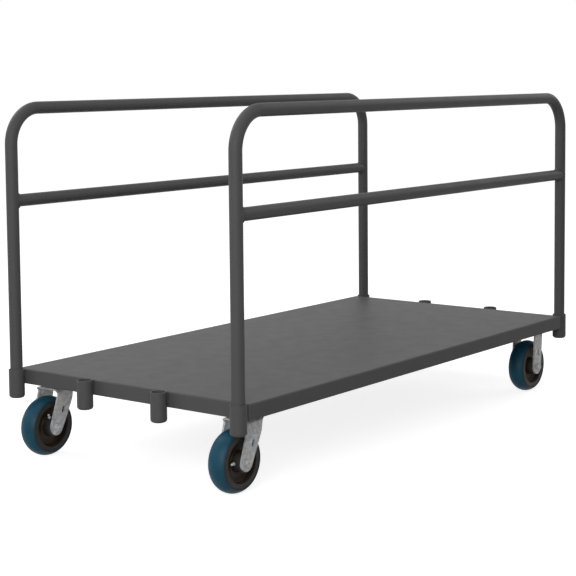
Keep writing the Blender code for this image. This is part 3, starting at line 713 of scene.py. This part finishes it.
def build_deck():
    """The pan with its folded rim, and the channels under it."""
    soft = DECK_EDGE_SOFTNESS
    pan = folded_shell("deck_pan", [(0, 0, -1)], DECK_BEND)
    piece("deck_sheet", pan, GREY_PAINT, "cart_base", ["deck_pan"], DECK_SHEET, soft)
    for node in ("swivel_channel", "rigid_channel"):
        across = folded_shell(node, [(0, 0, 1), (0, 1, 0), (0, -1, 0)], CHANNEL_BEND)
        piece(f"{node}_sheet", across, GREY_PAINT, "cart_base", [node], CHANNEL_SHEET, soft)
    along = folded_shell("deck_stiffener", [(0, 0, 1), (1, 0, 0), (-1, 0, 0)], CHANNEL_BEND)
    piece("stiffener_sheet", along, GREY_PAINT, "cart_base", ["deck_stiffener"], CHANNEL_SHEET, soft)


def socket_shape():
    """A cup with a rounded foot and a softened mouth, its foot at the origin."""
    inner = SOCKET_RADIUS - SOCKET_WALL
    height = SOCKET_TOP - SOCKET_BOTTOM
    profile = [
        (0, SOCKET_WALL, 0),
        (inner, SOCKET_WALL, SOCKET_FLOOR_ROUND),
        (inner, height, SOCKET_MOUTH_ROUND),
        (SOCKET_RADIUS, height, SOCKET_MOUTH_ROUND),
        (SOCKET_RADIUS, 0, SOCKET_ROUND),
        (0, 0, 0),
    ]
    return turned(profile, SOCKET_STEPS, False)


def socket_bead_shape(length):
    """A straight weld bead about the origin along Z, rippled as it was laid."""
    count = int(length / BEAD_RIPPLE)
    step = length / count
    valley = SOCKET_BEAD_RADIUS - BEAD_RIPPLE_DEPTH
    profile = [(0, -length / 2, 0)]
    for number in range(count):
        level = number * step - length / 2
        profile += [
            (valley, level + step * BEAD_VALLEY_SHARE, 0),
            (SOCKET_BEAD_RADIUS, level + step / 2, 0),
            (valley, level + step * (1 - BEAD_VALLEY_SHARE), 0),
        ]
    profile.append((0, length / 2, 0))
    return turned(profile, SOCKET_BEAD_STEPS, False)


def build_sockets():
    """Four sockets at each end, each with a bead down both its sides where it meets the rim."""
    cup = socket_shape()
    bead_length = DECK_TOP - RIM_BOTTOM - DECK_BEND - 2 * SOCKET_BEAD_INSET
    bead = socket_bead_shape(bead_length)
    bead_level = RIM_BOTTOM + SOCKET_BEAD_INSET + bead_length / 2
    bead_x = DECK_LENGTH / 2 + SOCKET_BEAD_OUT
    step = 2 * POST_Y / (SOCKETS_PER_END - 1)
    for end, way in (("swivel", -1), ("rigid", 1)):
        beads = []
        for number in range(SOCKETS_PER_END):
            y = number * step - POST_Y
            name = f"socket_{end}_end_{number + 1}"
            shape = placed(cup.copy(), Matrix.Translation((way * POST_X, y, SOCKET_BOTTOM)))
            piece(f"{name}_cup", shape, GREY_PAINT, "cart_base", [name])
            for side in (-1, 1):
                beads.append((way * bead_x, y + side * SOCKET_BEAD_ASIDE, bead_level))
        piece(f"socket_beads_{end}_end", copied(bead, beads), PAINTED_WELD, "cart_base")


def drawn(shape, edges, way):
    """Extrudes a ring of edges straight and returns the new ring."""
    made = bmesh.ops.extrude_edge_only(shape, edges=edges)["geom"]
    bmesh.ops.translate(shape, verts=[g for g in made if isinstance(g, bmesh.types.BMVert)], vec=way)
    return [g for g in made if isinstance(g, bmesh.types.BMEdge) and all(v in made for v in g.verts)]


def bent(shape, edges, centre):
    """Sweeps a ring of edges through a quarter bend about Y and returns the last ring."""
    verts = list({vert for edge in edges for vert in edge.verts})
    made = bmesh.ops.spin(
        shape,
        geom=verts + edges,
        cent=centre,
        axis=(0, 1, 0),
        angle=QUARTER,
        steps=TUBE_BEND_STEPS,
    )
    return [g for g in made["geom_last"] if isinstance(g, bmesh.types.BMEdge)]


def hoop_shape(y):
    """The outside of a divider's bent tube: up a post, over the top and down the other post."""
    shape = bmesh.new()
    foot = Matrix.Translation((-POST_X, y, POST_FOOT))
    bmesh.ops.create_circle(shape, segments=TUBE_SIDES, radius=TUBE_RADIUS, matrix=foot)
    bend_level = HOOP_LEVEL - TUBE_BEND
    bend_x = POST_X - TUBE_BEND
    ring = drawn(shape, list(shape.edges), (0, 0, bend_level - POST_FOOT))
    ring = bent(shape, ring, (-bend_x, y, bend_level))
    ring = drawn(shape, ring, (2 * bend_x, 0, 0))
    ring = bent(shape, ring, (bend_x, y, bend_level))
    drawn(shape, ring, (0, 0, POST_FOOT - bend_level))
    return outward(shape)


def cope(angle):
    """How far a coped end reaches past the post's near side, at an angle from upright."""
    return TUBE_RADIUS * (1 - abs(math.cos(angle)))


def rail_shape(y):
    """The outside of a divider's rail, with coped ends."""
    shape = bmesh.new()
    stand = Matrix.Translation((0, y, RAIL_LEVEL)) @ Matrix.Rotation(QUARTER, 4, "Y")
    bmesh.ops.create_circle(shape, segments=TUBE_SIDES, radius=TUBE_RADIUS, matrix=stand)
    first = list(shape.verts)
    drawn(shape, list(shape.edges), (0, 0, 0))
    last = [vert for vert in shape.verts if vert not in first]
    for way, ring in ((-1, first), (1, last)):
        for vert in ring:
            across = min(abs(vert.co.y - y), TUBE_RADIUS)
            vert.co.x = way * (POST_X - math.sqrt(TUBE_RADIUS**2 - across**2) - SEAT_GAP)
    return outward(shape)


def rail_bead_shape(way, y):
    """The weld bead round a rail's end, full above and below and slim beside the post."""
    section = ring_of_points((TUBE_RADIUS, 0), RAIL_BEAD_RADIUS, RAIL_BEAD_SECTION_STEPS)
    shape = turned(sharp(section), RAIL_BEAD_STEPS, True)
    ripples = round(2 * math.pi * TUBE_RADIUS / BEAD_RIPPLE)
    for vert in shape.verts:
        angle = math.atan2(vert.co.y, vert.co.x)
        line = Vector((math.cos(angle), math.sin(angle), 0)) * TUBE_RADIUS
        swell = 1 - BEAD_RIPPLE_DEPTH / RAIL_BEAD_RADIUS * (1 - math.cos(ripples * angle))
        swell *= RAIL_BEAD_SIDE_SHARE + (1 - RAIL_BEAD_SIDE_SHARE) * abs(math.cos(angle))
        vert.co = line + (vert.co - line) * swell
        vert.co.z += cope(angle)
    lay_down = Matrix.Rotation(QUARTER, 4, "Y")
    place = Matrix.Translation((POST_X - TUBE_RADIUS, y, RAIL_LEVEL))
    mirror = Matrix.Scale(way, 4, (1, 0, 0))
    return outward(placed(shape, mirror, place, lay_down))


def build_dividers():
    """Each divider's hoop, rail and the beads that join them."""
    for side_name, side in SIDES.items():
        body = f"divider_{side_name}"
        y = side * POST_Y
        piece(f"{body}_tube", hoop_shape(y), GREY_PAINT, body, [f"{body}_hoop"], TUBE_WALL)
        piece(f"{body}_crossbar", rail_shape(y), GREY_PAINT, body, [f"{body}_rail"], TUBE_WALL)
        beads = joined([rail_bead_shape(way, y) for way in (-1, 1)])
        piece(f"{body}_rail_beads", beads, PAINTED_WELD, body)


def four_corners(length, width):
    """The corners of a rectangle about the origin, in turn."""
    x = length / 2
    y = width / 2
    return [(x, y), (-x, y), (-x, -y), (x, -y)]


def build_plates():
    """The casters' top plates and their fasteners."""
    corners = four_corners(PLATE_SIZE.x, PLATE_SIZE.y)
    outline = softened([(*corner, PLATE_CORNER) for corner in corners])
    holes = four_corners(BOLT_SPACING_ALONG, BOLT_SPACING_ACROSS)
    bores = [ring_of_points(hole, BOLT_HEAD_RADIUS + SEAT_GAP, HOLE_STEPS) for hole in holes]
    plate = flat_sheet([outline] + bores)
    for name, kind, side in CASTERS:
        x = HEAD_X[kind]
        y = side * CASTER_Y
        shape = placed(plate.copy(), Matrix.Translation((x, y, PLATE_TOP)))
        piece(f"{name}_top_plate", shape, ZINC, "cart_base", [f"{name}_plate"], PLATE_SIZE.z, PLATE_SOFTNESS)
        build_plate_bolts(name, [(x + along, y + across, 0) for along, across in holes])


def build_plate_bolts(name, places):
    """Flat-headed screws, flush under a top plate, each with a washer and a nut over the channel's web."""
    web_top = PLATE_TOP + SEAT_GAP + CHANNEL_SHEET
    head_bottom = PLATE_TOP - PLATE_SIZE.z + BOLT_HEAD_SINK
    drive_top = head_bottom + BOLT_DRIVE_DEPTH
    nut_bottom = web_top + WASHER_STEEL
    tip = nut_bottom + NUT_HEIGHT + BOLT_TAIL
    screw = [
        (0, drive_top, 0),
        (BOLT_DRIVE_RADIUS, drive_top, 0),
        (BOLT_DRIVE_RADIUS, head_bottom, SCREW_SOFTNESS),
        (BOLT_HEAD_RADIUS, head_bottom, SCREW_SOFTNESS),
        (BOLT_HEAD_RADIUS, PLATE_TOP - SCREW_SOFTNESS, 0),
        (BOLT_RADIUS, PLATE_TOP - SCREW_SOFTNESS, 0),
    ]
    screw += threaded(BOLT_RADIUS, nut_bottom + NUT_HEIGHT, tip)
    washer = washer_shape(BOLT_RADIUS + SEAT_GAP, WASHER_RADIUS, web_top, nut_bottom, SCREW_STEPS)
    nut = hexagon(NUT_FLATS, NUT_HEIGHT, BOLT_RADIUS, nut_bottom + NUT_HEIGHT / 2)
    bolt = joined([turned(screw, SCREW_STEPS, False), washer, nut])
    piece(f"{name}_plate_bolts", copied(bolt, places), ZINC, "cart_base")


def fold_down(shape, top):
    """Folds a flat pattern, its width along Y, into an upside-down U with its outer face at the top."""
    length = FORK_BEND * QUARTER
    for side in (-1, 1):
        for step in range(FOLD_STEPS + 1):
            level = side * (FORK_FLAT_HALF + length * step / FOLD_STEPS)
            geometry = shape.verts[:] + shape.edges[:] + shape.faces[:]
            bmesh.ops.bisect_plane(shape, geom=geometry, plane_co=(0, level, 0), plane_no=(0, 1, 0))
    for vert in shape.verts:
        beyond = abs(vert.co.y) - FORK_FLAT_HALF
        if beyond <= 0:
            vert.co.z = top
            continue
        angle = min(beyond / FORK_BEND, QUARTER)
        rest = beyond - FORK_BEND * angle
        vert.co.z = top - FORK_BEND * (1 - math.cos(angle)) - rest
        vert.co.y = math.copysign(FORK_FLAT_HALF + FORK_BEND * math.sin(angle), vert.co.y)
    bmesh.ops.recalc_face_normals(shape, faces=shape.faces)
    crown = max(shape.faces, key=lambda face: face.calc_center_median().z)
    if crown.normal.z < 0:
        bmesh.ops.reverse_faces(shape, faces=shape.faces)
    return shape


def unfolded(height, top):
    """How far out on the flat pattern a height on a fork's leg lies."""
    return FORK_FLAT_HALF + FORK_BEND * QUARTER + top - FORK_BEND - height


def leg_window(x, height, tilt, top):
    """The slot in a fork's leg, on the flat pattern."""
    half = SLOT_LENGTH / 2 - SLOT_WIDTH / 2
    lean = Vector((math.sin(tilt), math.cos(tilt))) * half
    spot = Vector((x, height))
    upper = arc(spot + lean, SLOT_WIDTH / 2, -tilt, math.pi - tilt, SLOT_END_STEPS)
    lower = arc(spot - lean, SLOT_WIDTH / 2, math.pi - tilt, 2 * math.pi - tilt, SLOT_END_STEPS)
    return [(point.x, unfolded(point.y, top)) for point in upper + lower]


def tangent_point(centre, radius, point, side):
    """Angle on a circle at which a line from the point touches it."""
    away = Vector(point) - Vector(centre)
    return math.atan2(away.y, away.x) + side * math.acos(radius / away.length)


def fork_pattern(half_outline, axle, window, top, pin_radius):
    """The flat pattern of a fork from the half outline of one leg, in places along X and out along Y."""
    outline = half_outline + [(x, -y) for x, y in half_outline[::-1]]
    out = unfolded(axle[1], top)
    holes = [window, [(x, -y) for x, y in window]]
    for y in (out, -out):
        holes.append(ring_of_points((axle[0], y), AXLE_RADIUS + AXLE_HOLE_GAP, AXLE_HOLE_STEPS))
    if pin_radius:
        holes.append(ring_of_points((0, 0), pin_radius, HOLE_STEPS))
    return flat_sheet([outline] + holes)


def on_pattern(corners, top):
    """Corners of a leg, each a place along X, a height and a rounding, laid out on the flat pattern."""
    return [(x, unfolded(height, top), radius) for x, height, radius in corners]


def leg_outline(axle, radius, back, front, top):
    """A leg on the flat pattern: down the corners of its back, round its end and up those of its front."""
    start = tangent_point(axle, radius, back[-1][:2], 1)
    end = tangent_point(axle, radius, front[0][:2], -1) + 2 * math.pi
    tip = sharp(arc(axle, radius, start, end, LEG_END_STEPS))
    outline = softened(on_pattern(back + tip + front, top), False)
    return [tuple(point) for point in outline]


def swivel_fork_shape(top):
    """A swivel caster's fork about its kingpin: a round crown and two legs that lean back to the axle."""
    axle = (SWIVEL_AXLE_X - KINGPIN_X, AXLE_LEVEL)
    crown_back = axle[0] + SWIVEL_LEG_BACK
    back = [
        (crown_back, top - FORK_STEEL / 2, 0),
        (crown_back, top - FORK_STEEL, SWIVEL_CROWN_BACK_ROUND),
        (axle[0] + SWIVEL_LEG_NECK, top - SWIVEL_NECK_DROP, SWIVEL_NECK_ROUND),
    ]
    front = [
        (axle[0] + SWIVEL_LEG_KNEE, axle[1] + SWIVEL_LEG_KNEE_RISE, SWIVEL_KNEE_ROUND),
        (axle[0] + SWIVEL_LEG_FRONT, top - SWIVEL_CROWN_DROP, SWIVEL_CROWN_FRONT_ROUND),
        (axle[0] + SWIVEL_LEG_FRONT + SWIVEL_CROWN_DROP, top - FORK_STEEL / 2, 0),
    ]
    crown = arc((0, 0), FORK_WIDTH / 2, SWIVEL_CROWN_TURN, 0, SWIVEL_CROWN_STEPS)
    leg = leg_outline(axle, LEG_END_RADIUS, back, front, top)
    outline = leg[:-1] + [tuple(point) for point in crown[:-1]]
    window = leg_window(axle[0] + SLOT_FORWARD, axle[1] + SLOT_RISE, SLOT_TILT, top)
    pattern = fork_pattern(outline, axle, window, top, KINGPIN_RADIUS + SEAT_GAP)
    return fold_down(pattern, top)


def rigid_fork_shape(top):
    """A rigid caster's fork about its axle's place along X, its legs leaning a little towards +X."""
    axle = (0, AXLE_LEVEL)
    crown_level = top - FORK_STEEL
    neck_level = crown_level - (RIGID_CROWN_HALF - RIGID_LEG_HALF)
    back = [
        (RIGID_LEG_LEAN - RIGID_CROWN_HALF, top - FORK_STEEL / 2, 0),
        (RIGID_LEG_LEAN - RIGID_CROWN_HALF, crown_level, RIGID_NECK_ROUND),
        (RIGID_LEG_LEAN - RIGID_LEG_HALF, neck_level, RIGID_NECK_ROUND),
    ]
    front = [(2 * RIGID_LEG_LEAN - x, height, rounding) for x, height, rounding in back[::-1]]
    outline = leg_outline(axle, RIGID_LEG_HALF, back, front, top)
    window = leg_window(RIGID_SLOT_FORWARD, AXLE_LEVEL + SLOT_RISE, 0, top)
    return fold_down(fork_pattern(outline, axle, window, top, 0), top)


def build_forks():
    """The forks of all four casters."""
    shapes = {"swivel": swivel_fork_shape, "rigid": rigid_fork_shape}
    for name, kind, side in CASTERS:
        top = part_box(f"{name}_fork")[1].z
        shape = placed(shapes[kind](top), Matrix.Translation((HEAD_X[kind], side * CASTER_Y, 0)))
        body = name if kind == "swivel" else "cart_base"
        piece(f"{name}_pressed_fork", shape, ZINC, body, [f"{name}_fork"], FORK_STEEL, FORK_SOFTNESS)


def build_swivel_heads():
    """Races, balls, kingpin and nut of the two swivel casters."""
    for side_name, side in SIDES.items():
        name = f"swivel_{side_name}"
        centre = Matrix.Translation((KINGPIN_X, side * CASTER_Y, 0))
        build_races(name, centre)
        build_kingpin(name, centre)


def build_races(name, centre):
    """The cup on the fork, the ring of balls in it and the ring above them."""
    low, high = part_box(f"{name}_race")
    level = low.z + RACE_STEEL
    lip = RACE_RADIUS - RACE_LIP
    cup = [
        (RACE_INSIDE_RADIUS, low.z, 0),
        (RACE_RADIUS, low.z, RACE_TURN),
        (RACE_RADIUS, high.z, RACE_LIP_ROUND),
        (lip, high.z, RACE_LIP_ROUND),
        (lip, level, RACE_TURN),
        (RACE_INSIDE_RADIUS, level, RACE_BORE_ROUND),
    ]
    piece(f"{name}_race_cup", placed(turned(cup, RACE_STEPS, True), centre), ZINC, name, [f"{name}_race"])
    ball = bmesh.new()
    bmesh.ops.create_uvsphere(ball, u_segments=BALL_SEGMENTS, v_segments=BALL_RINGS, radius=BALL_RADIUS)
    spots = ring_of_points((0, 0), BALL_CIRCLE_RADIUS, BALL_COUNT)
    balls = copied(ball, [(*spot, level + SEAT_GAP + BALL_RADIUS) for spot in spots])
    piece(f"{name}_ball_ring", placed(balls, centre), STEEL, name, [f"{name}_balls"])
    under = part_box(f"{name}_plate")[0].z
    above = PLATE_TOP - PLATE_SIZE.z
    upper = [
        (RACE_INSIDE_RADIUS, under, RACE_BORE_ROUND),
        (RACE_RADIUS, under, RACE_TURN),
        (RACE_RADIUS, above, 0),
        (RACE_INSIDE_RADIUS, above, 0),
    ]
    piece(f"{name}_upper_race", placed(turned(upper, RACE_STEPS, True), centre), ZINC, "cart_base")


def build_kingpin(name, centre):
    """The kingpin, countersunk in the plate, and the nut under the fork's crown."""
    low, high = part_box(f"{name}_kingpin")
    nut_low, nut_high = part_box(f"{name}_kingpin_nut")
    pin = [
        (0, high.z, 0),
        (KINGPIN_HEAD_RADIUS, high.z, KINGPIN_HEAD_ROUND),
        (KINGPIN_RADIUS, high.z - KINGPIN_HEAD_DEPTH, 0),
    ]
    pin += threaded(KINGPIN_RADIUS, nut_low.z + THREAD_IN_NUT, low.z)
    shape = placed(turned(pin, KINGPIN_STEPS, False), centre)
    piece(f"{name}_pin", shape, ZINC, "cart_base", [f"{name}_kingpin"])
    level = (nut_low.z + nut_high.z) / 2
    nut = hexagon(KINGPIN_NUT_FLATS, nut_high.z - nut_low.z, KINGPIN_RADIUS + SEAT_GAP, level)
    piece(f"{name}_pin_nut", placed(nut, centre), ZINC, "cart_base", [f"{name}_kingpin_nut"])


def tread_shape():
    """The moulded tread about the origin along Z, round from side to side."""
    drop = WHEEL_RADIUS - TREAD_INSIDE_RADIUS - TREAD_SIDE_DEPTH
    lean = 2 * math.atan(drop / TREAD_HALF)
    crown = TREAD_HALF / math.sin(lean)
    face = arc((WHEEL_RADIUS - crown, 0), crown, lean, -lean, TREAD_FACE_STEPS)
    edge = WHEEL_RADIUS - drop
    profile = [(TREAD_INSIDE_RADIUS, TREAD_HALF, 0), (edge, TREAD_HALF, TREAD_EDGE_ROUND)]
    profile += sharp(face[TREAD_FACE_TRIM:-TREAD_FACE_TRIM])
    profile += [(edge, -TREAD_HALF, TREAD_EDGE_ROUND), (TREAD_INSIDE_RADIUS, -TREAD_HALF, 0)]
    return turned(profile, WHEEL_STEPS, True)


def core_shape():
    """The cast core about the origin along Z: ring, drafted recess, web and hub, with filleted corners."""
    outer = TREAD_INSIDE_RADIUS - SEAT_GAP
    half = [
        (outer, RIM_HALF, RIM_SEAT_ROUND),
        (RIM_INSIDE_RADIUS, RIM_HALF, RIM_EDGE_ROUND),
        (RIM_INSIDE_RADIUS - CORE_DRAFT, WEB_HALF, CORE_FILLET),
        (HUB_RADIUS + HUB_DRAFT, WEB_HALF, CORE_FILLET),
        (HUB_RADIUS, HUB_HALF, HUB_EDGE_ROUND),
        (HUB_BORE_RADIUS, HUB_HALF, HUB_BORE_ROUND),
    ]
    other_half = [(radius, -height, fillet) for radius, height, fillet in half[::-1]]
    return turned(half + other_half, WHEEL_STEPS, True)


def rollers_shape():
    """A ring of rollers along Z between the two end rings of their cage."""
    pitch_radius = (CAGE_RADIUS + CAGE_INSIDE_RADIUS) / 2
    reach = CAGE_HALF - CAGE_RING
    ring = [
        (CAGE_INSIDE_RADIUS, reach, CAGE_INNER_ROUND),
        (CAGE_RADIUS, reach, CAGE_INNER_ROUND),
        (CAGE_RADIUS, CAGE_HALF, CAGE_OUTER_ROUND),
        (CAGE_INSIDE_RADIUS, CAGE_HALF, CAGE_OUTER_ROUND),
    ]
    mirror = Matrix.Scale(-1, 4, (0, 0, 1))
    rings = [turned(ring, CAGE_STEPS, True), outward(placed(turned(ring, CAGE_STEPS, True), mirror))]
    roller = [
        (0, -reach, 0),
        (ROLLER_RADIUS, -reach, ROLLER_EDGE_ROUND),
        (ROLLER_RADIUS, reach, ROLLER_EDGE_ROUND),
        (0, reach, 0),
    ]
    places = sharp(ring_of_points((0, 0), pitch_radius, ROLLER_COUNT))
    return joined(rings + [copied(turned(roller, ROLLER_STEPS, False), places)])


def fitting_shape():
    """A grease fitting along Z with its foot at the origin: a hexagon, a neck and a ball."""
    level = FITTING_HEIGHT - FITTING_BALL_RADIUS
    ball = arc((0, level), FITTING_BALL_RADIUS, -FITTING_NECK_ANGLE, QUARTER, FITTING_BALL_STEPS)
    nipple = [
        (0, FITTING_NECK_FOOT, 0),
        (FITTING_NECK_RADIUS, FITTING_NECK_FOOT, 0),
        (FITTING_NECK_RADIUS, level - FITTING_BALL_RADIUS * FITTING_NECK_SHARE, 0),
    ]
    nipple += sharp(ball)
    flats = hexagon(FITTING_HEX_FLATS, FITTING_HEX_HEIGHT, 0, FITTING_HEX_HEIGHT / 2)
    return joined([turned(nipple, FITTING_STEPS, False), flats])


def axle_shape(outside):
    """An axle bolt along Z: head and washer past +Z, the threaded tail past -Z."""
    seat = outside / 2
    head_bottom = seat + AXLE_WASHER_STEEL
    head_middle = head_bottom + AXLE_HEAD / 2
    tail = -(seat + AXLE_NUT + AXLE_TAIL)
    shank = [(0, head_middle, 0), (AXLE_RADIUS, head_middle, 0)]
    shank += threaded(AXLE_RADIUS, -(seat + AXLE_NUT - THREAD_IN_NUT), tail)
    bore = AXLE_RADIUS + AXLE_HOLE_GAP
    washer = washer_shape(bore, AXLE_WASHER_RADIUS, seat, head_bottom, AXLE_WASHER_STEPS)
    head = hexagon(AXLE_FLATS, AXLE_HEAD, 0, head_middle)
    return joined([turned(shank, AXLE_STEPS, False), washer, head])


def sleeve_shape(inside):
    """The sleeve round an axle along Z, between the fork's legs."""
    half = inside / 2 - SEAT_GAP
    bore = SLEEVE_RADIUS - SLEEVE_WALL
    corners = [(bore, -half), (SLEEVE_RADIUS, -half), (SLEEVE_RADIUS, half), (bore, half)]
    return turned([(*corner, SLEEVE_EDGE_ROUND) for corner in corners], SLEEVE_STEPS, True)


def build_wheels():
    """The four wheels with their axles, sleeves, rollers and grease fittings."""
    for name, kind, side in CASTERS:
        holder = name if kind == "swivel" else "cart_base"
        wheel = f"{name}_wheel"
        axle = Vector((AXLE_X[kind], side * CASTER_Y, AXLE_LEVEL))
        centre = Matrix.Translation(axle)
        tread = placed(tread_shape(), centre, along_y())
        piece(f"{wheel}_tread", tread, BLUE_TREAD, wheel, [f"{name}_tread"])
        core = placed(core_shape(), centre, along_y())
        piece(f"{wheel}_core", core, DARK_CORE, wheel, [f"{name}_core"])
        rollers = placed(rollers_shape(), centre, along_y())
        piece(f"{wheel}_rollers", rollers, STEEL, wheel, [f"{name}_rollers"])
        sleeve = placed(sleeve_shape(FORK_WIDTH - 2 * FORK_STEEL), centre, along_y())
        piece(f"{name}_bushing", sleeve, STEEL, holder, [f"{name}_sleeve"])
        bolt = placed(axle_shape(FORK_WIDTH), centre, along_y(side))
        piece(f"{name}_axle_bolt", bolt, ZINC, holder, [f"{name}_axle"])
        level = -side * (FORK_WIDTH / 2 + SEAT_GAP + AXLE_NUT / 2)
        nut = hexagon(AXLE_FLATS, AXLE_NUT, AXLE_RADIUS + AXLE_NUT_GAP, level)
        piece(f"{name}_lock_nut", placed(nut, centre, along_y()), ZINC, holder, [f"{name}_axle_nut"])
        build_fitting(name, wheel, axle)


def build_fitting(name, wheel, axle):
    """The grease fitting, where its CAD node stands on the hub."""
    spot = middle(f"{name}_grease_fitting")
    out = Vector((spot.x - axle.x, 0, spot.z - axle.z)).normalized()
    foot = Vector((axle.x, spot.y, axle.z)) + out * HUB_RADIUS
    turn = Vector((0, 0, 1)).rotation_difference(out).to_matrix().to_4x4()
    shape = placed(fitting_shape(), Matrix.Translation(foot), turn)
    piece(f"{name}_nipple", shape, ZINC, wheel, [f"{name}_grease_fitting"])


def build_floor():
    """A plain pale floor."""
    shape = bmesh.new()
    bmesh.ops.create_grid(shape, x_segments=1, y_segments=1, size=FLOOR_REACH)
    floor = in_scene("floor", mesh_of("floor", shape))
    floor.data.materials.append(floor_finish())


def background_ray(nodes, links):
    """1 where the camera, a mirror or a glass sees a surface, and 0 where light bounces from it."""
    path = nodes.new("ShaderNodeLightPath")
    seen = path.outputs["Is Camera Ray"]
    for ray in ("Is Glossy Ray", "Is Transmission Ray"):
        either = nodes.new("ShaderNodeMath")
        either.operation = "MAXIMUM"
        links.new(seen, either.inputs[0])
        links.new(path.outputs[ray], either.inputs[1])
        seen = either.outputs["Value"]
    return seen


def emptied(owner):
    """The nodes and links of a material or a world, with no node there yet."""
    owner.use_nodes = True
    owner.node_tree.nodes.clear()
    return owner.node_tree.nodes, owner.node_tree.links


def coloured(nodes, kind, colour, strength=None):
    """A shader node of one colour, with a strength where it gives light."""
    node = nodes.new(kind)
    node.inputs["Color"].default_value = (*colour, 1)
    if strength is not None:
        node.inputs["Strength"].default_value = strength
    return node


def mixed_by_ray(nodes, links, bounced, seen, output):
    """Feeds an output with one shader where light bounces and another where the surface is seen."""
    mix = nodes.new("ShaderNodeMixShader")
    links.new(background_ray(nodes, links), mix.inputs["Fac"])
    links.new(bounced, mix.inputs[1])
    links.new(seen, mix.inputs[2])
    links.new(mix.outputs["Shader"], nodes.new(output).inputs["Surface"])


def floor_finish():
    """Pale to the eye with the cart's shadow on it, and duller to bounced light."""
    finish = bpy.data.materials.new("pale_floor")
    nodes, links = emptied(finish)
    pale = coloured(nodes, "ShaderNodeBsdfDiffuse", FLOOR_GREY)
    glow = coloured(nodes, "ShaderNodeEmission", WHITE)
    places = nodes.new("ShaderNodeTexCoord")
    reach = nodes.new("ShaderNodeVectorMath")
    reach.operation = "LENGTH"
    links.new(places.outputs["Object"], reach.inputs[0])
    fade = nodes.new("ShaderNodeMapRange")
    fade.inputs["From Min"].default_value = FLOOR_FADE_START
    fade.inputs["From Max"].default_value = FLOOR_FADE_END
    fade.inputs["To Min"].default_value = FLOOR_GLOW
    fade.inputs["To Max"].default_value = 1
    links.new(reach.outputs["Value"], fade.inputs["Value"])
    links.new(fade.outputs["Result"], glow.inputs["Strength"])
    lit = nodes.new("ShaderNodeAddShader")
    links.new(pale.outputs["BSDF"], lit.inputs[0])
    links.new(glow.outputs["Emission"], lit.inputs[1])
    dull = coloured(nodes, "ShaderNodeBsdfDiffuse", FLOOR_BOUNCE_GREY)
    mixed_by_ray(nodes, links, dull.outputs["BSDF"], lit.outputs["Shader"], "ShaderNodeOutputMaterial")
    return finish


def build_world():
    """White to the eye, and a dim even light on the cart."""
    world = bpy.data.worlds.new("studio")
    bpy.context.scene.world = world
    nodes, links = emptied(world)
    soft = coloured(nodes, "ShaderNodeBackground", WHITE, WORLD_LIGHT).outputs["Background"]
    seen = coloured(nodes, "ShaderNodeBackground", WHITE, 1).outputs["Background"]
    mixed_by_ray(nodes, links, soft, seen, "ShaderNodeOutputWorld")


def build_lights():
    """A soft box beside the camera, one past the left divider, and weaker ones overhead and at both ends."""
    for name, (place, power) in LAMPS.items():
        light = bpy.data.lights.new(name, "AREA")
        light.shape = "SQUARE"
        light.size = LAMP_WIDTH
        light.energy = power
        made = in_scene(name, light)
        made.location = place
        made.rotation_euler = (Vector(LAMP_TARGET) - Vector(place)).to_track_quat("-Z", "Y").to_euler()


def build_camera():
    """The camera where the photo was taken from, fitted to the deck, tubes, sockets and wheels in it."""
    camera = bpy.data.cameras.new("camera")
    camera.sensor_width = CAMERA_SENSOR
    camera.lens = CAMERA_LENS
    camera.shift_y = CAMERA_SHIFT
    camera.clip_start = CAMERA_NEAREST
    camera.clip_end = CAMERA_FARTHEST
    made = in_scene("camera", camera)
    made.location = CAMERA_PLACE
    turn = Matrix.Rotation(CAMERA_HEADING, 4, "Z")
    turn = turn @ Matrix.Rotation(QUARTER - CAMERA_DIP, 4, "X")
    turn = turn @ Matrix.Rotation(CAMERA_ROLL, 4, "Z")
    made.rotation_euler = turn.to_euler()
    bpy.context.scene.camera = made


build_deck()
build_sockets()
build_dividers()
build_plates()
build_forks()
build_swivel_heads()
build_wheels()
build_floor()
build_world()
build_lights()
build_camera()

bpy.context.scene.view_settings.view_transform = "Standard"
